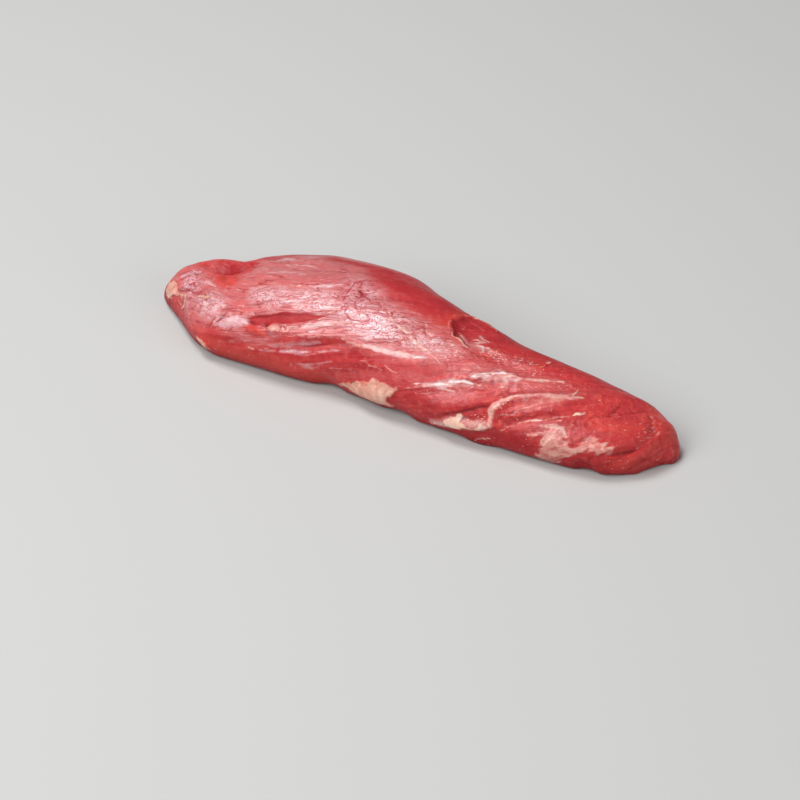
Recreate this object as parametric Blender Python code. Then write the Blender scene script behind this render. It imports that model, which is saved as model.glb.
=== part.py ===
"""A raw pork tenderloin, trimmed and whole, lying flat: one solid.

The thick head points to -X and the tapered tail to +X. The body is a loft through cross sections that
differ in width, height and crest, from SECTIONS. Its surface then gets the relief of the real muscle: the
tear in the silverskin, the folds between its bundles, the lumps of fat and the fold of the tail.

Lengths are in metres and +Z is up. The origin is on the ground, under the middle of the bounding box.
A place on the surface is (x, g): x along the length, and g the distance over the top from the near contact
line, where the belly of the near side (-Y) leaves the ground.
"""

import bpy
import numpy as np

NAME = "tenderloin"
MEAT_RED = (0.52, 0.066, 0.058, 1.0)
WET_ROUGHNESS = 0.32

# The tips of the head and the tail, and how far from each the section closes in to a round end.
HEAD_TIP = -0.1350
TAIL_TIP = 0.1350
HEAD_ROUND = 0.0060
TAIL_ROUND = 0.0090

# Cross sections from head to tail: x, near edge, far edge, crest (all three in Y) and height.
SECTIONS = np.array(
    [
        (-0.132, -0.011, 0.003, -0.004, 0.012),
        (-0.119, -0.021, 0.013, -0.004, 0.021),
        (-0.099, -0.036, 0.014, -0.004, 0.027),
        (-0.086, -0.040, 0.024, -0.004, 0.032),
        (-0.056, -0.040, 0.032, -0.003, 0.039),
        (-0.020, -0.038, 0.029, 0.001, 0.041),
        (0.020, -0.041, 0.017, -0.002, 0.036),
        (0.060, -0.040, 0.011, -0.006, 0.031),
        (0.102, -0.037, 0.010, -0.009, 0.025),
        (0.122, -0.027, 0.007, -0.010, 0.019),
        (0.131, -0.014, 0.003, -0.007, 0.013),
    ]
)
BELLY_LEVEL = 0.36  # height of the widest place, as a share of the section's height
UNDERCUT = 0.55  # how far the sides draw in below it, as a share of that level
FULLNESS = 2.25  # exponent of the superellipse above it: 2 is an ellipse, more is squarer

# Grooves (height below zero) and ridges that follow a line: height, half width, places (x, g) on the line.
LINES = {
    "lobe valley": (-0.0024, 0.0070, [(-0.094, 0.066), (-0.094, 0.058), (-0.099, 0.052), (-0.108, 0.047)]),
    "tear": (-0.0034, 0.0055, [(-0.077, 0.030), (-0.060, 0.034), (-0.048, 0.0385), (-0.031, 0.0435)]),
    "second tear": (-0.0012, 0.0048, [(-0.064, 0.021), (-0.045, 0.026), (-0.030, 0.031), (-0.018, 0.0345)]),
    "notch": (-0.0040, 0.0056, [(0.025, 0.055), (0.023, 0.063), (0.024, 0.070), (0.030, 0.073)]),
    "notch rim": (0.0014, 0.0050, [(0.016, 0.056), (0.015, 0.065), (0.017, 0.075)]),
    "step by the notch": (-0.0011, 0.0055, [(0.028, 0.056), (0.040, 0.050), (0.060, 0.048), (0.084, 0.050)]),
    "middle groove": (-0.0012, 0.0048, [(0.006, 0.0215), (0.020, 0.026), (0.034, 0.030), (0.048, 0.036)]),
    "band": (0.0012, 0.0050, [(0.056, 0.018), (0.058, 0.029), (0.070, 0.035), (0.088, 0.042)]),
    "lower groove": (-0.0014, 0.0050, [(0.040, 0.019), (0.058, 0.0235), (0.076, 0.030), (0.098, 0.036)]),
    "fat seam": (0.0015, 0.0055, [(0.031, 0.009), (0.038, 0.016), (0.046, 0.015), (0.056, 0.017)]),
    "tail cut": (-0.0018, 0.0045, [(0.105, 0.050), (0.106, 0.034)]),
    "tail fold": (-0.0026, 0.0052, [(0.110, 0.0155), (0.118, 0.0165), (0.124, 0.018), (0.126, 0.027)]),
    "skin arm": (0.0008, 0.0050, [(0.080, 0.006), (0.086, 0.018), (0.100, 0.018), (0.114, 0.019)]),
    "hollow under the waist": (-0.0032, 0.0070, [(-0.038, 0.008), (-0.021, 0.008)]),
    "hollow beside the fat": (-0.0022, 0.0060, [(0.010, 0.007), (0.022, 0.007)]),
    "hollow under the tail": (-0.0026, 0.0060, [(0.097, 0.006), (0.107, 0.006)]),
}

# Round swellings: height, centre (x, g), half length, half width, and the slope of the long axis.
LUMPS = {
    "head lobe": (0.0008, (-0.106, 0.050), 0.018, 0.009, 0.80),
    "head swelling": (0.0014, (-0.098, 0.045), 0.008, 0.0065, 0.10),
    "bump in the tear": (0.0022, (-0.056, 0.031), 0.0060, 0.0044, 0.30),
    "bump beside it": (0.0014, (-0.065, 0.0275), 0.0080, 0.0040, 0.15),
    "fat patch": (0.0018, (-0.006, 0.014), 0.0180, 0.0085, 0.25),
    "fat bit": (0.0012, (-0.095, 0.010), 0.0070, 0.0050, 0.20),
    "far shoulder": (0.0010, (0.000, 0.070), 0.030, 0.014, -0.20),
}

# The muscle bundles run over the surface at this slope (g over x). Their soft waves, and the smaller bumps
# of flesh that was pressed and handled: height, length along the bundles and width across them.
BUNDLE_SLOPE = 0.27
BUNDLE_WAVE = (0.0007, 0.045, 0.011)
BUMP_WAVE = (0.0004, 0.014, 0.012)
NOISE_CELLS = 64

# The relief starts at the ground and is full at this share of the belly's level, and this far from the tips.
FULL_RELIEF_LEVEL = 0.6
TIP_FADE = 0.008

# Facets: rings along the length, and points round a ring in each of its stretches.
RINGS = 108
EVEN_SPACING = 0.55  # share of the rings' spacing that is even: the rest crowds towards the tips
TOP_POINTS = 38
SIDE_POINTS = 3
BASE_POINTS = 3


def smoothstep(low, high, value):
    """0 below low, 1 above high, and 3t^2 - 2t^3 between."""
    t = np.clip((value - low) / (high - low), 0.0, 1.0)
    return t * t * (3.0 - 2.0 * t)


def smooth_curve(knots, values, x):
    """A monotone cubic through the knots: each slope is the harmonic mean of its neighbours', so that
    nothing overshoots."""
    step = np.diff(knots)
    rise = np.diff(values) / step
    turns = rise[:-1] * rise[1:] <= 0.0
    safe = np.where(turns, 1.0, rise[:-1] + rise[1:])
    inner = np.where(turns, 0.0, 2.0 * rise[:-1] * rise[1:] / safe)
    slope = np.concatenate([rise[:1], inner, rise[-1:]])
    k = np.clip(np.searchsorted(knots, x) - 1, 0, len(step) - 1)
    t = np.clip((x - knots[k]) / step[k], 0.0, 1.0)
    rest = 1.0 - t
    ends = values[k] * (1.0 + 2.0 * t) * rest**2 + values[k + 1] * (3.0 - 2.0 * t) * t**2
    return ends + step[k] * t * rest * (slope[k] * rest - slope[k + 1] * t)


def smooth_noise(u, v, seed):
    """Value noise from -1 to 1: random numbers on a lattice of whole u and v, joined by smooth steps."""
    lattice = np.random.default_rng(seed).uniform(-1.0, 1.0, (NOISE_CELLS, NOISE_CELLS))
    column = np.floor(u).astype(int)
    row = np.floor(v).astype(int)
    across = smoothstep(0.0, 1.0, u - column)
    up = smoothstep(0.0, 1.0, v - row)
    left, right = column % NOISE_CELLS, (column + 1) % NOISE_CELLS
    low, high = row % NOISE_CELLS, (row + 1) % NOISE_CELLS
    bottom = lattice[left, low] * (1.0 - across) + lattice[right, low] * across
    top = lattice[left, high] * (1.0 - across) + lattice[right, high] * across
    return bottom * (1.0 - up) + top * up


def ring_places(count):
    """Places along X from tip to tip, closer together near both round ends."""
    t = np.linspace(0.0, 1.0, count + 2)[1:-1]
    eased = 0.5 - 0.5 * np.cos(np.pi * t)
    return HEAD_TIP + (TAIL_TIP - HEAD_TIP) * (EVEN_SPACING * t + (1.0 - EVEN_SPACING) * eased)


def section_sizes(x):
    """Near edge, far edge, crest and height at x, drawn in to a point over the round of each tip."""
    knots = SECTIONS[:, 0]
    inside = np.clip(x, knots[0], knots[-1])
    near, far, crest, height = (smooth_curve(knots, column, inside) for column in SECTIONS[:, 1:].T)
    from_head = np.clip((x - HEAD_TIP) / HEAD_ROUND, 0.0, 1.0)
    from_tail = np.clip((TAIL_TIP - x) / TAIL_ROUND, 0.0, 1.0)
    close = np.sqrt((1.0 - (1.0 - from_head) ** 2) * (1.0 - (1.0 - from_tail) ** 2))
    middle = 0.5 * (near + far)
    near, far, crest = (middle + (edge - middle) * close for edge in (near, far, crest))
    return near, far, crest, height * close


def loft(x):
    """Rings of points round the body at each x, as an array (ring, point, 3), and the belly's level on each.

    A ring starts at the near contact line. It runs up the near side, over the top and down the far side as
    two quarter ellipses and two superellipse quarters between them, then back along the flat base.
    """
    near, far, crest, height = (size[:, None] for size in section_sizes(x))
    belly = BELLY_LEVEL * height
    inset = UNDERCUT * belly
    rise = np.linspace(0.0, 0.5 * np.pi, SIDE_POINTS, endpoint=False)[None, :]
    over = np.linspace(0.0, np.pi, TOP_POINTS + 1)[None, :]
    fall = np.linspace(0.0, 0.5 * np.pi, SIDE_POINTS + 1)[None, 1:]
    back = np.linspace(0.0, 1.0, BASE_POINTS + 2)[None, 1:-1]

    reach = np.where(over < 0.5 * np.pi, crest - near, far - crest)
    power = 2.0 / FULLNESS
    top_y = crest - reach * np.sign(np.cos(over)) * np.abs(np.cos(over)) ** power
    top_z = belly + (height - belly) * np.sin(over) ** power
    y = np.concatenate(
        [
            near + inset * (1.0 - np.sin(rise)),
            top_y,
            far - inset * (1.0 - np.cos(fall)),
            (far - inset) * (1.0 - back) + (near + inset) * back,
        ],
        axis=1,
    )
    flat = np.zeros((len(x), BASE_POINTS))
    z = np.concatenate([belly * (1.0 - np.cos(rise)), top_z, belly * (1.0 - np.sin(fall)), flat], axis=1)
    return np.stack([np.broadcast_to(x[:, None], y.shape), y, z], axis=-1), belly


def over_the_top(rings):
    """g of each point: the distance along its ring from the near contact line."""
    steps = np.linalg.norm(np.diff(rings, axis=1), axis=2)
    return np.concatenate([np.zeros((len(rings), 1)), np.cumsum(steps, axis=1)], axis=1)


def outward_normals(rings):
    """Unit normals: the cross product of the steps to the neighbouring rings and along the ring."""
    along = np.gradient(rings, axis=0)
    around = np.roll(rings, -1, axis=1) - np.roll(rings, 1, axis=1)
    normal = np.cross(along, around)
    return normal / np.maximum(np.linalg.norm(normal, axis=2, keepdims=True), 1e-12)


def line_relief(x, g, height, half_width, places):
    """A rounded groove or ridge: height * (1 - (d / w)^2)^2 at distance d from the line.

    The width w is full at the middle of the line and narrower towards its ends.
    """
    places = np.array(places)
    nearest = np.full(x.shape, np.inf)
    share = np.zeros(x.shape)
    for index, (start, end) in enumerate(zip(places[:-1], places[1:])):
        run = end - start
        t = np.clip(((x - start[0]) * run[0] + (g - start[1]) * run[1]) / (run @ run), 0.0, 1.0)
        distance = np.hypot(x - start[0] - t * run[0], g - start[1] - t * run[1])
        closer = distance < nearest
        nearest = np.where(closer, distance, nearest)
        share = np.where(closer, (index + t) / (len(places) - 1), share)
    width = half_width * (0.45 + 0.55 * np.sin(np.pi * share))
    return height * np.clip(1.0 - (nearest / width) ** 2, 0.0, 1.0) ** 2


def lump_relief(x, g, height, centre, half_length, half_width, slope):
    """A round swelling on an ellipse whose long axis has the given slope: height * (1 - r^2)^2 inside it."""
    size = np.hypot(1.0, slope)
    along = ((x - centre[0]) + slope * (g - centre[1])) / size
    across = ((g - centre[1]) - slope * (x - centre[0])) / size
    return height * np.clip(1.0 - (along / half_length) ** 2 - (across / half_width) ** 2, 0.0, 1.0) ** 2


def relief(x, g):
    """Height of the surface over the plain loft at the places (x, g)."""
    across = g - BUNDLE_SLOPE * x
    along = x + BUNDLE_SLOPE * g
    total = np.zeros(x.shape)
    for seed, (height, length, width) in enumerate((BUNDLE_WAVE, BUMP_WAVE)):
        total += height * smooth_noise(along / length, across / width, seed)
    for line in LINES.values():
        total += line_relief(x, g, *line)
    for lump in LUMPS.values():
        total += lump_relief(x, g, *lump)
    return total


def meat_points():
    """Every ring with its relief, and the two tips, with the origin under the middle of their box."""
    x = ring_places(RINGS)
    rings, belly = loft(x)
    g = over_the_top(rings)
    fade = smoothstep(0.0, FULL_RELIEF_LEVEL, rings[..., 2] / belly)
    fade *= smoothstep(0.0, TIP_FADE, np.minimum(x - HEAD_TIP, TAIL_TIP - x))[:, None]
    rings = rings + outward_normals(rings) * (fade * relief(rings[..., 0], g))[..., None]
    first, last = rings[0].mean(axis=0), rings[-1].mean(axis=0)
    tips = np.array([(HEAD_TIP, first[1], first[2]), (TAIL_TIP, last[1], last[2])])
    points = np.concatenate([rings.reshape(-1, 3), tips])
    middle = 0.5 * (points.min(axis=0) + points.max(axis=0))
    return points - (middle[0], middle[1], 0.0)


def meat_faces(rings, around):
    """Four-sided faces from each ring to the next, and a fan of triangles from each end ring to its tip."""
    faces = []
    for ring in range(rings - 1):
        for point in range(around):
            here, beside = ring * around + point, ring * around + (point + 1) % around
            faces.append((here, here + around, beside + around, beside))
    head_tip, tail_tip = rings * around, rings * around + 1
    last = (rings - 1) * around
    for point in range(around):
        beside = (point + 1) % around
        faces.append((head_tip, point, beside))
        faces.append((tail_tip, last + beside, last + point))
    return faces


def meat_material():
    """Wet raw muscle: deep red, with the low roughness of a moist surface."""
    material = bpy.data.materials.new("raw_pork")
    material.use_nodes = True
    shader = material.node_tree.nodes["Principled BSDF"]
    shader.inputs["Base Color"].default_value = MEAT_RED
    shader.inputs["Roughness"].default_value = WET_ROUGHNESS
    shader.inputs["Metallic"].default_value = 0.0
    return material


def build():
    """The tenderloin as one smooth-shaded mesh object in a collection named for it."""
    points = meat_points()
    around = (len(points) - 2) // RINGS
    mesh = bpy.data.meshes.new(NAME)
    mesh.from_pydata(points.tolist(), [], meat_faces(RINGS, around))
    mesh.materials.append(meat_material())
    mesh.shade_smooth()
    meat = bpy.data.objects.new(NAME, mesh)
    collection = bpy.data.collections.new("raw_pork_tenderloin")
    bpy.context.scene.collection.children.link(collection)
    collection.objects.link(meat)
    return meat


def main():
    for leftover in list(bpy.data.objects):
        bpy.data.objects.remove(leftover, do_unlink=True)
    build()


main()
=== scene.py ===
# %% [markdown]
# # A raw pork tenderloin
# This lesson dresses one piece of meat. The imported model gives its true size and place, and the cells below
# build its fine surface: the folds, the tear in the silverskin, the fat, the wet film and the muscle fibres.
# A place on the meat is (x, g): x runs along it from head to tail, and g is the distance over its back, from
# the line where the near side leaves the ground. Everything is in metres, apart from the lists of what covers
# the muscle, which are in millimetres.

import bpy
import numpy as np
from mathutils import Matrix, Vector


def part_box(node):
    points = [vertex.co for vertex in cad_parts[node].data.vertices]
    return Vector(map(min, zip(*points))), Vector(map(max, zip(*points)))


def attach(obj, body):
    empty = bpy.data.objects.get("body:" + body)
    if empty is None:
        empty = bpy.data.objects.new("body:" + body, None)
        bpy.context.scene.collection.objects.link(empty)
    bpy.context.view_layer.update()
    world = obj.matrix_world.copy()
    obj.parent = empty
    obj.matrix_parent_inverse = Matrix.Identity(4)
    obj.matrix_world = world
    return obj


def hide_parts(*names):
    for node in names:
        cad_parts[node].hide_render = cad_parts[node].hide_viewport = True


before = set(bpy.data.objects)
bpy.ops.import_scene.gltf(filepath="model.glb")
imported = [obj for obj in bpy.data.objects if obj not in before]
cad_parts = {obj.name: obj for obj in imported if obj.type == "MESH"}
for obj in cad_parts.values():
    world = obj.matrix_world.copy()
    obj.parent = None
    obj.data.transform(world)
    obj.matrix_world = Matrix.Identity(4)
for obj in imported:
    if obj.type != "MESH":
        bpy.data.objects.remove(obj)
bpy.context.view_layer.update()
low, high = (np.array(corner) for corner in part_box("tenderloin"))
print("tenderloin in mm:", np.round((high - low) * 1000.0, 1))

# %% [markdown]
# ## Sections of the body
# A whole muscle has no flat or round parts to start from. It could be sculpted by hand, but here it is
# lofted: a few cross sections are named, and smooth curves carry their edges from one to the next. The same
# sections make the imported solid, which is why the fine skin below lies right on it.

# %% Cross sections from head to tail
HEAD_TIP, TAIL_TIP = -0.1350, 0.1350
HEAD_ROUND, TAIL_ROUND = 0.0060, 0.0090  # how far from each tip the sections close in to a round end

# x, near edge, far edge, crest and height
SECTIONS = np.array(
    [
        (-0.132, -0.011, 0.003, -0.004, 0.012),
        (-0.119, -0.021, 0.013, -0.004, 0.021),
        (-0.099, -0.036, 0.014, -0.004, 0.027),
        (-0.086, -0.040, 0.024, -0.004, 0.032),
        (-0.056, -0.040, 0.032, -0.003, 0.039),
        (-0.020, -0.038, 0.029, 0.001, 0.041),
        (0.020, -0.041, 0.017, -0.002, 0.036),
        (0.060, -0.040, 0.011, -0.006, 0.031),
        (0.102, -0.037, 0.010, -0.009, 0.025),
        (0.122, -0.027, 0.007, -0.010, 0.019),
        (0.131, -0.014, 0.003, -0.007, 0.013),
    ]
)


def smoothstep(low_end, high_end, value):
    """0 below the low end, 1 above the high end, and 3t^2 - 2t^3 between."""
    t = np.clip((value - low_end) / (high_end - low_end), 0.0, 1.0)
    return t * t * (3.0 - 2.0 * t)


def smooth_curve(knots, values, x):
    """A monotone cubic through the knots: each slope is the harmonic mean of the slopes beside it."""
    step = np.diff(knots)
    rise = np.diff(values) / step
    turns = rise[:-1] * rise[1:] <= 0.0
    safe = np.where(turns, 1.0, rise[:-1] + rise[1:])
    inner = np.where(turns, 0.0, 2.0 * rise[:-1] * rise[1:] / safe)
    slope = np.concatenate([rise[:1], inner, rise[-1:]])
    k = np.clip(np.searchsorted(knots, x) - 1, 0, len(step) - 1)
    t = np.clip((x - knots[k]) / step[k], 0.0, 1.0)
    rest = 1.0 - t
    ends = values[k] * (1.0 + 2.0 * t) * rest**2 + values[k + 1] * (3.0 - 2.0 * t) * t**2
    return ends + step[k] * t * rest * (slope[k] * rest - slope[k + 1] * t)


def section_sizes(x):
    """Near edge, far edge, crest and height at x, drawn in to a point over the round of each tip."""
    knots = SECTIONS[:, 0]
    inside = np.clip(x, knots[0], knots[-1])
    near, far, crest, height = (smooth_curve(knots, column, inside) for column in SECTIONS[:, 1:].T)
    from_head = np.clip((x - HEAD_TIP) / HEAD_ROUND, 0.0, 1.0)
    from_tail = np.clip((TAIL_TIP - x) / TAIL_ROUND, 0.0, 1.0)
    close = np.sqrt((1.0 - (1.0 - from_head) ** 2) * (1.0 - (1.0 - from_tail) ** 2))
    middle = 0.5 * (near + far)
    near, far, crest = (middle + (edge - middle) * close for edge in (near, far, crest))
    return near, far, crest, height * close


middle_sizes = np.array([float(size[0]) for size in section_sizes(np.zeros(1))])
print("near edge, far edge, crest and height in the middle, in mm:", np.round(middle_sizes * 1000.0, 1))

# %% [markdown]
# ## A fine grid over the whole body
# The surface is a grid of rings. Each ring starts in the middle of the flat base, climbs the near side, goes
# over the back and returns down the far side. Its seam is in the middle of the base, where nobody looks.
# The grid is finer than one millimetre, so that shreds of film only a millimetre wide can be real relief.
# Soft meat does not touch the ground all along: in a few places the near side draws in further beneath.

# %% Rings from tip to tip
RINGS, BASE_STEPS, SIDE_STEPS, BACK_STEPS = 430, 8, 14, 182
EVEN_SPACING = 0.75  # share of the rings' spacing that is even: the rest crowds towards the tips
BELLY_LEVEL = 0.36  # height of the widest place, as a share of the section's height
UNDERCUT = 0.55  # how far the sides draw in below it, as a share of that level
FULLNESS = 2.25  # exponent of the superellipse above it: 2 is an ellipse, more is squarer

# where the near side draws in further: x, half length, and how much further (below zero is less)
LIFTED = [
    (-0.029, 0.010, 0.005),
    (0.009, 0.010, 0.0055),
    (0.050, 0.012, -0.003),
    (0.1030, 0.0075, 0.005),
    (0.127, 0.005, 0.004),
]


def ring_places(count):
    """Places along X from tip to tip: even steps, blended with steps that a cosine eases near both tips."""
    t = np.linspace(0.0, 1.0, count + 2)[1:-1]
    eased = 0.5 - 0.5 * np.cos(np.pi * t)
    return HEAD_TIP + (TAIL_TIP - HEAD_TIP) * (EVEN_SPACING * t + (1.0 - EVEN_SPACING) * eased)


def lift(x):
    """How much further the near side draws in at x: the sum of depth * (1 - d^2)^2."""
    places = ((depth, (x - centre) / half_length) for centre, half_length, depth in LIFTED)
    return sum(depth * np.clip(1.0 - away**2, 0.0, 1.0) ** 2 for depth, away in places)


ring_x = ring_places(RINGS)
print("rings:", len(ring_x), "furthest apart in mm:", round(float(np.diff(ring_x).max()) * 1000.0, 2))

# %% The grid's points, before any relief


def loft(x, extra=0.0):
    """Rings round the body as an array (ring, point, 3), the belly's level, and g of every point.

    From the middle of the base, a ring is a straight run, a quarter ellipse up to the widest place, two
    superellipse quarters over the crest, a quarter ellipse down and a straight run back. g is zero where the
    near side leaves the ground, so it is negative on the near half of the base. The near side can be
    undercut by something extra.
    """
    near, far, crest, height = (size[:, None] for size in section_sizes(x))
    belly = BELLY_LEVEL * height
    inset = UNDERCUT * belly
    near_inset = inset + extra
    out = np.linspace(0.0, 1.0, BASE_STEPS, endpoint=False)[None, :]
    rise = np.linspace(0.0, 0.5 * np.pi, SIDE_STEPS, endpoint=False)[None, :]
    over = np.linspace(0.0, np.pi, BACK_STEPS + 1)[None, :]
    fall = np.linspace(0.0, 0.5 * np.pi, SIDE_STEPS + 1)[None, 1:]
    back = np.linspace(0.0, 1.0, BASE_STEPS + 1)[None, 1:]

    centre = 0.5 * (near + far)
    reach = np.where(over < 0.5 * np.pi, crest - near, far - crest)
    power = 2.0 / FULLNESS
    y = [
        centre + (near + near_inset - centre) * out,
        near + near_inset * (1.0 - np.sin(rise)),
        crest - reach * np.sign(np.cos(over)) * np.abs(np.cos(over)) ** power,
        far - inset * (1.0 - np.cos(fall)),
        (far - inset) + (centre - far + inset) * back,
    ]
    z = [
        np.zeros((len(x), BASE_STEPS)),
        belly * (1.0 - np.cos(rise)),
        belly + (height - belly) * np.sin(over) ** power,
        belly * (1.0 - np.sin(fall)),
        np.zeros((len(x), BASE_STEPS)),
    ]
    y, z = np.concatenate(y, axis=1), np.concatenate(z, axis=1)
    points = np.stack([np.broadcast_to(x[:, None], y.shape), y, z], axis=-1)
    steps = np.linalg.norm(np.diff(points, axis=1), axis=2)
    travelled = np.concatenate([np.zeros((len(x), 1)), np.cumsum(steps, axis=1)], axis=1)
    return points, belly, travelled - travelled[:, BASE_STEPS : BASE_STEPS + 1]


g = loft(ring_x)[2]
plain, belly_level, _ = loft(ring_x, lift(ring_x)[:, None])
x = plain[..., 0]
print("grid:", x.shape, "longest way over the back in mm:", round(float(g.max()) * 1000.0))

# %% [markdown]
# ## Noise that follows the fibres
# Muscle fibres run over the back at a slant, and swing steeply into the folded head. A coordinate that is
# constant along each fibre lets plain noise be stretched into streaks: far apart along the fibre, close
# together across it. Each noise has a seed of its own, so every run gives the same meat.

# %% Fibre coordinate
FIBRE_SLOPE = 0.30  # climb of the fibres over the back, g per x, in the middle of the muscle
FOLDED_HEAD = -0.095  # from here to the head tip the fibres turn up, this much more for each metre
HEAD_TURN = 27.0
TAIL_TURN = 1.5


def fibre_line(x, g):
    """Which fibre a place is on: g less the climb of a fibre that starts at x = 0."""
    folded = np.minimum(x - FOLDED_HEAD, 0.0)
    beyond = np.maximum(x, 0.0)
    return g - (FIBRE_SLOPE * x - 0.5 * HEAD_TURN * folded**2 + 0.5 * TAIL_TURN * beyond**2)


fibre = fibre_line(x, g)
print("fibres span in mm:", np.round([fibre.min() * 1000.0, fibre.max() * 1000.0]))

# %% Noise
NOISE_CELLS = 256


def smooth_noise(u, v, seed, cells=NOISE_CELLS):
    """Value noise from -1 to 1: random numbers on a lattice of whole u and v, joined by smooth steps."""
    lattice = np.random.default_rng(seed).uniform(-1.0, 1.0, (cells, cells))
    column, row = np.floor(u).astype(int), np.floor(v).astype(int)
    across, up = smoothstep(0.0, 1.0, u - column), smoothstep(0.0, 1.0, v - row)
    left, right = column % cells, (column + 1) % cells
    down, top = row % cells, (row + 1) % cells
    lower = lattice[left, down] * (1.0 - across) + lattice[right, down] * across
    upper = lattice[left, top] * (1.0 - across) + lattice[right, top] * across
    return lower * (1.0 - up) + upper * up


def layered_noise(u, v, seed, layers=3):
    """Layers of value noise, each at twice the detail and half the height of the one before."""
    total = np.zeros(np.broadcast(u, v).shape)
    for layer in range(layers):
        total += smooth_noise(u * 2.0**layer, v * 2.0**layer, seed + 17 * layer) / 2.0**layer
    return total / (2.0 - 2.0 ** (1 - layers))


WARP, WARP_SIZE = 0.0007, 0.0030  # how far the ragged edges wander, and over what length
warp_x = x + WARP * layered_noise(x / WARP_SIZE, g / WARP_SIZE, 101)
warp_g = g + WARP * layered_noise(x / WARP_SIZE, g / WARP_SIZE, 102)
print("edges wander by up to this many mm:", round(float(np.abs(warp_x - x).max()) * 1000.0, 2))

# %% [markdown]
# ## Lines, lumps and steps
# Each fold, tear, shred and streak is a named line on the back with a height and a half width. One function
# measures the distance from every point to such a line, and everything else, both the relief and the colour
# masks, is worked out from that distance. The edges are made ragged by warping the places first.

# %% Distance to a line, and the shapes drawn with it


def near_line(px, pg, places):
    """Distance from each point to the line through the places, and how far along it the nearest place is.

    On each straight piece the nearest place is the point's projection, kept between the piece's two ends.
    """
    places = np.array(places)
    nearest = np.full(px.shape, np.inf)
    share = np.zeros(px.shape)
    for index, (start, end) in enumerate(zip(places[:-1], places[1:])):
        run = end - start
        t = np.clip(((px - start[0]) * run[0] + (pg - start[1]) * run[1]) / (run @ run), 0.0, 1.0)
        distance = np.hypot(px - start[0] - t * run[0], pg - start[1] - t * run[1])
        closer = distance < nearest
        nearest = np.where(closer, distance, nearest)
        share = np.where(closer, (index + t) / (len(places) - 1), share)
    return nearest, share


def line_relief(px, pg, height, half_width, places):
    """A rounded groove or ridge: height * (1 - (d / w)^2)^2, lower and narrower towards the line's ends."""
    nearest, share = near_line(px, pg, places)
    swell = np.sqrt(np.sin(np.pi * np.clip(share, 0.04, 0.96)))
    width = half_width * (0.40 + 0.60 * swell)
    return height * swell * np.clip(1.0 - (nearest / width) ** 2, 0.0, 1.0) ** 2


def lump_relief(px, pg, height, centre, half_length, half_width, slope):
    """A round swelling on an ellipse whose long axis has the given slope: height * (1 - r^2)^2 inside it."""
    size = np.hypot(1.0, slope)
    along = ((px - centre[0]) + slope * (pg - centre[1])) / size
    across = ((pg - centre[1]) - slope * (px - centre[0])) / size
    return height * np.clip(1.0 - (along / half_length) ** 2 - (across / half_width) ** 2, 0.0, 1.0) ** 2


def step_relief(px, pg, lip, reach, places):
    """A drop on the right of a line: it rises to 1 over the lip, then falls away over the reach.

    It is 1 in the middle of the line and 0 at both ends, so the step runs out into the surface.
    """
    nearest, share = near_line(px, pg, places)
    line = np.array(places)
    edge = np.interp(pg, line[:, 1], line[:, 0])
    beyond = np.where(px > edge, nearest, 0.0)
    return smoothstep(0.0, lip, beyond) * np.exp(-((beyond / reach) ** 2)) * np.sin(np.pi * share) ** 0.7


# %% [markdown]
# ## The main forms
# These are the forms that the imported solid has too: the valley between the head's lobe and the body, the
# tear, the notch, the folds between the bundles, the fat and the fold of the tail. This grid is finer than
# the solid's, so its folds are narrower, with sharper sides.

# %% Waves of the bundles, and the bumps of handled flesh
BUNDLE_SLOPE = 0.27
MAIN_WAVES = ((0.0007, 0.045, 0.011), (0.0004, 0.014, 0.012))  # height, length along, width across
WAVE_CELLS = 64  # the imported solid's smaller lattice, so that both have their waves in one place
relief = np.zeros(x.shape)
for seed, (height, length, width) in enumerate(MAIN_WAVES):
    u, v = (x + BUNDLE_SLOPE * g) / length, (g - BUNDLE_SLOPE * x) / width
    relief += height * smooth_noise(u, v, seed, WAVE_CELLS)
print("waves in mm:", [height * 1000.0 for height, _, _ in MAIN_WAVES])

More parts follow.
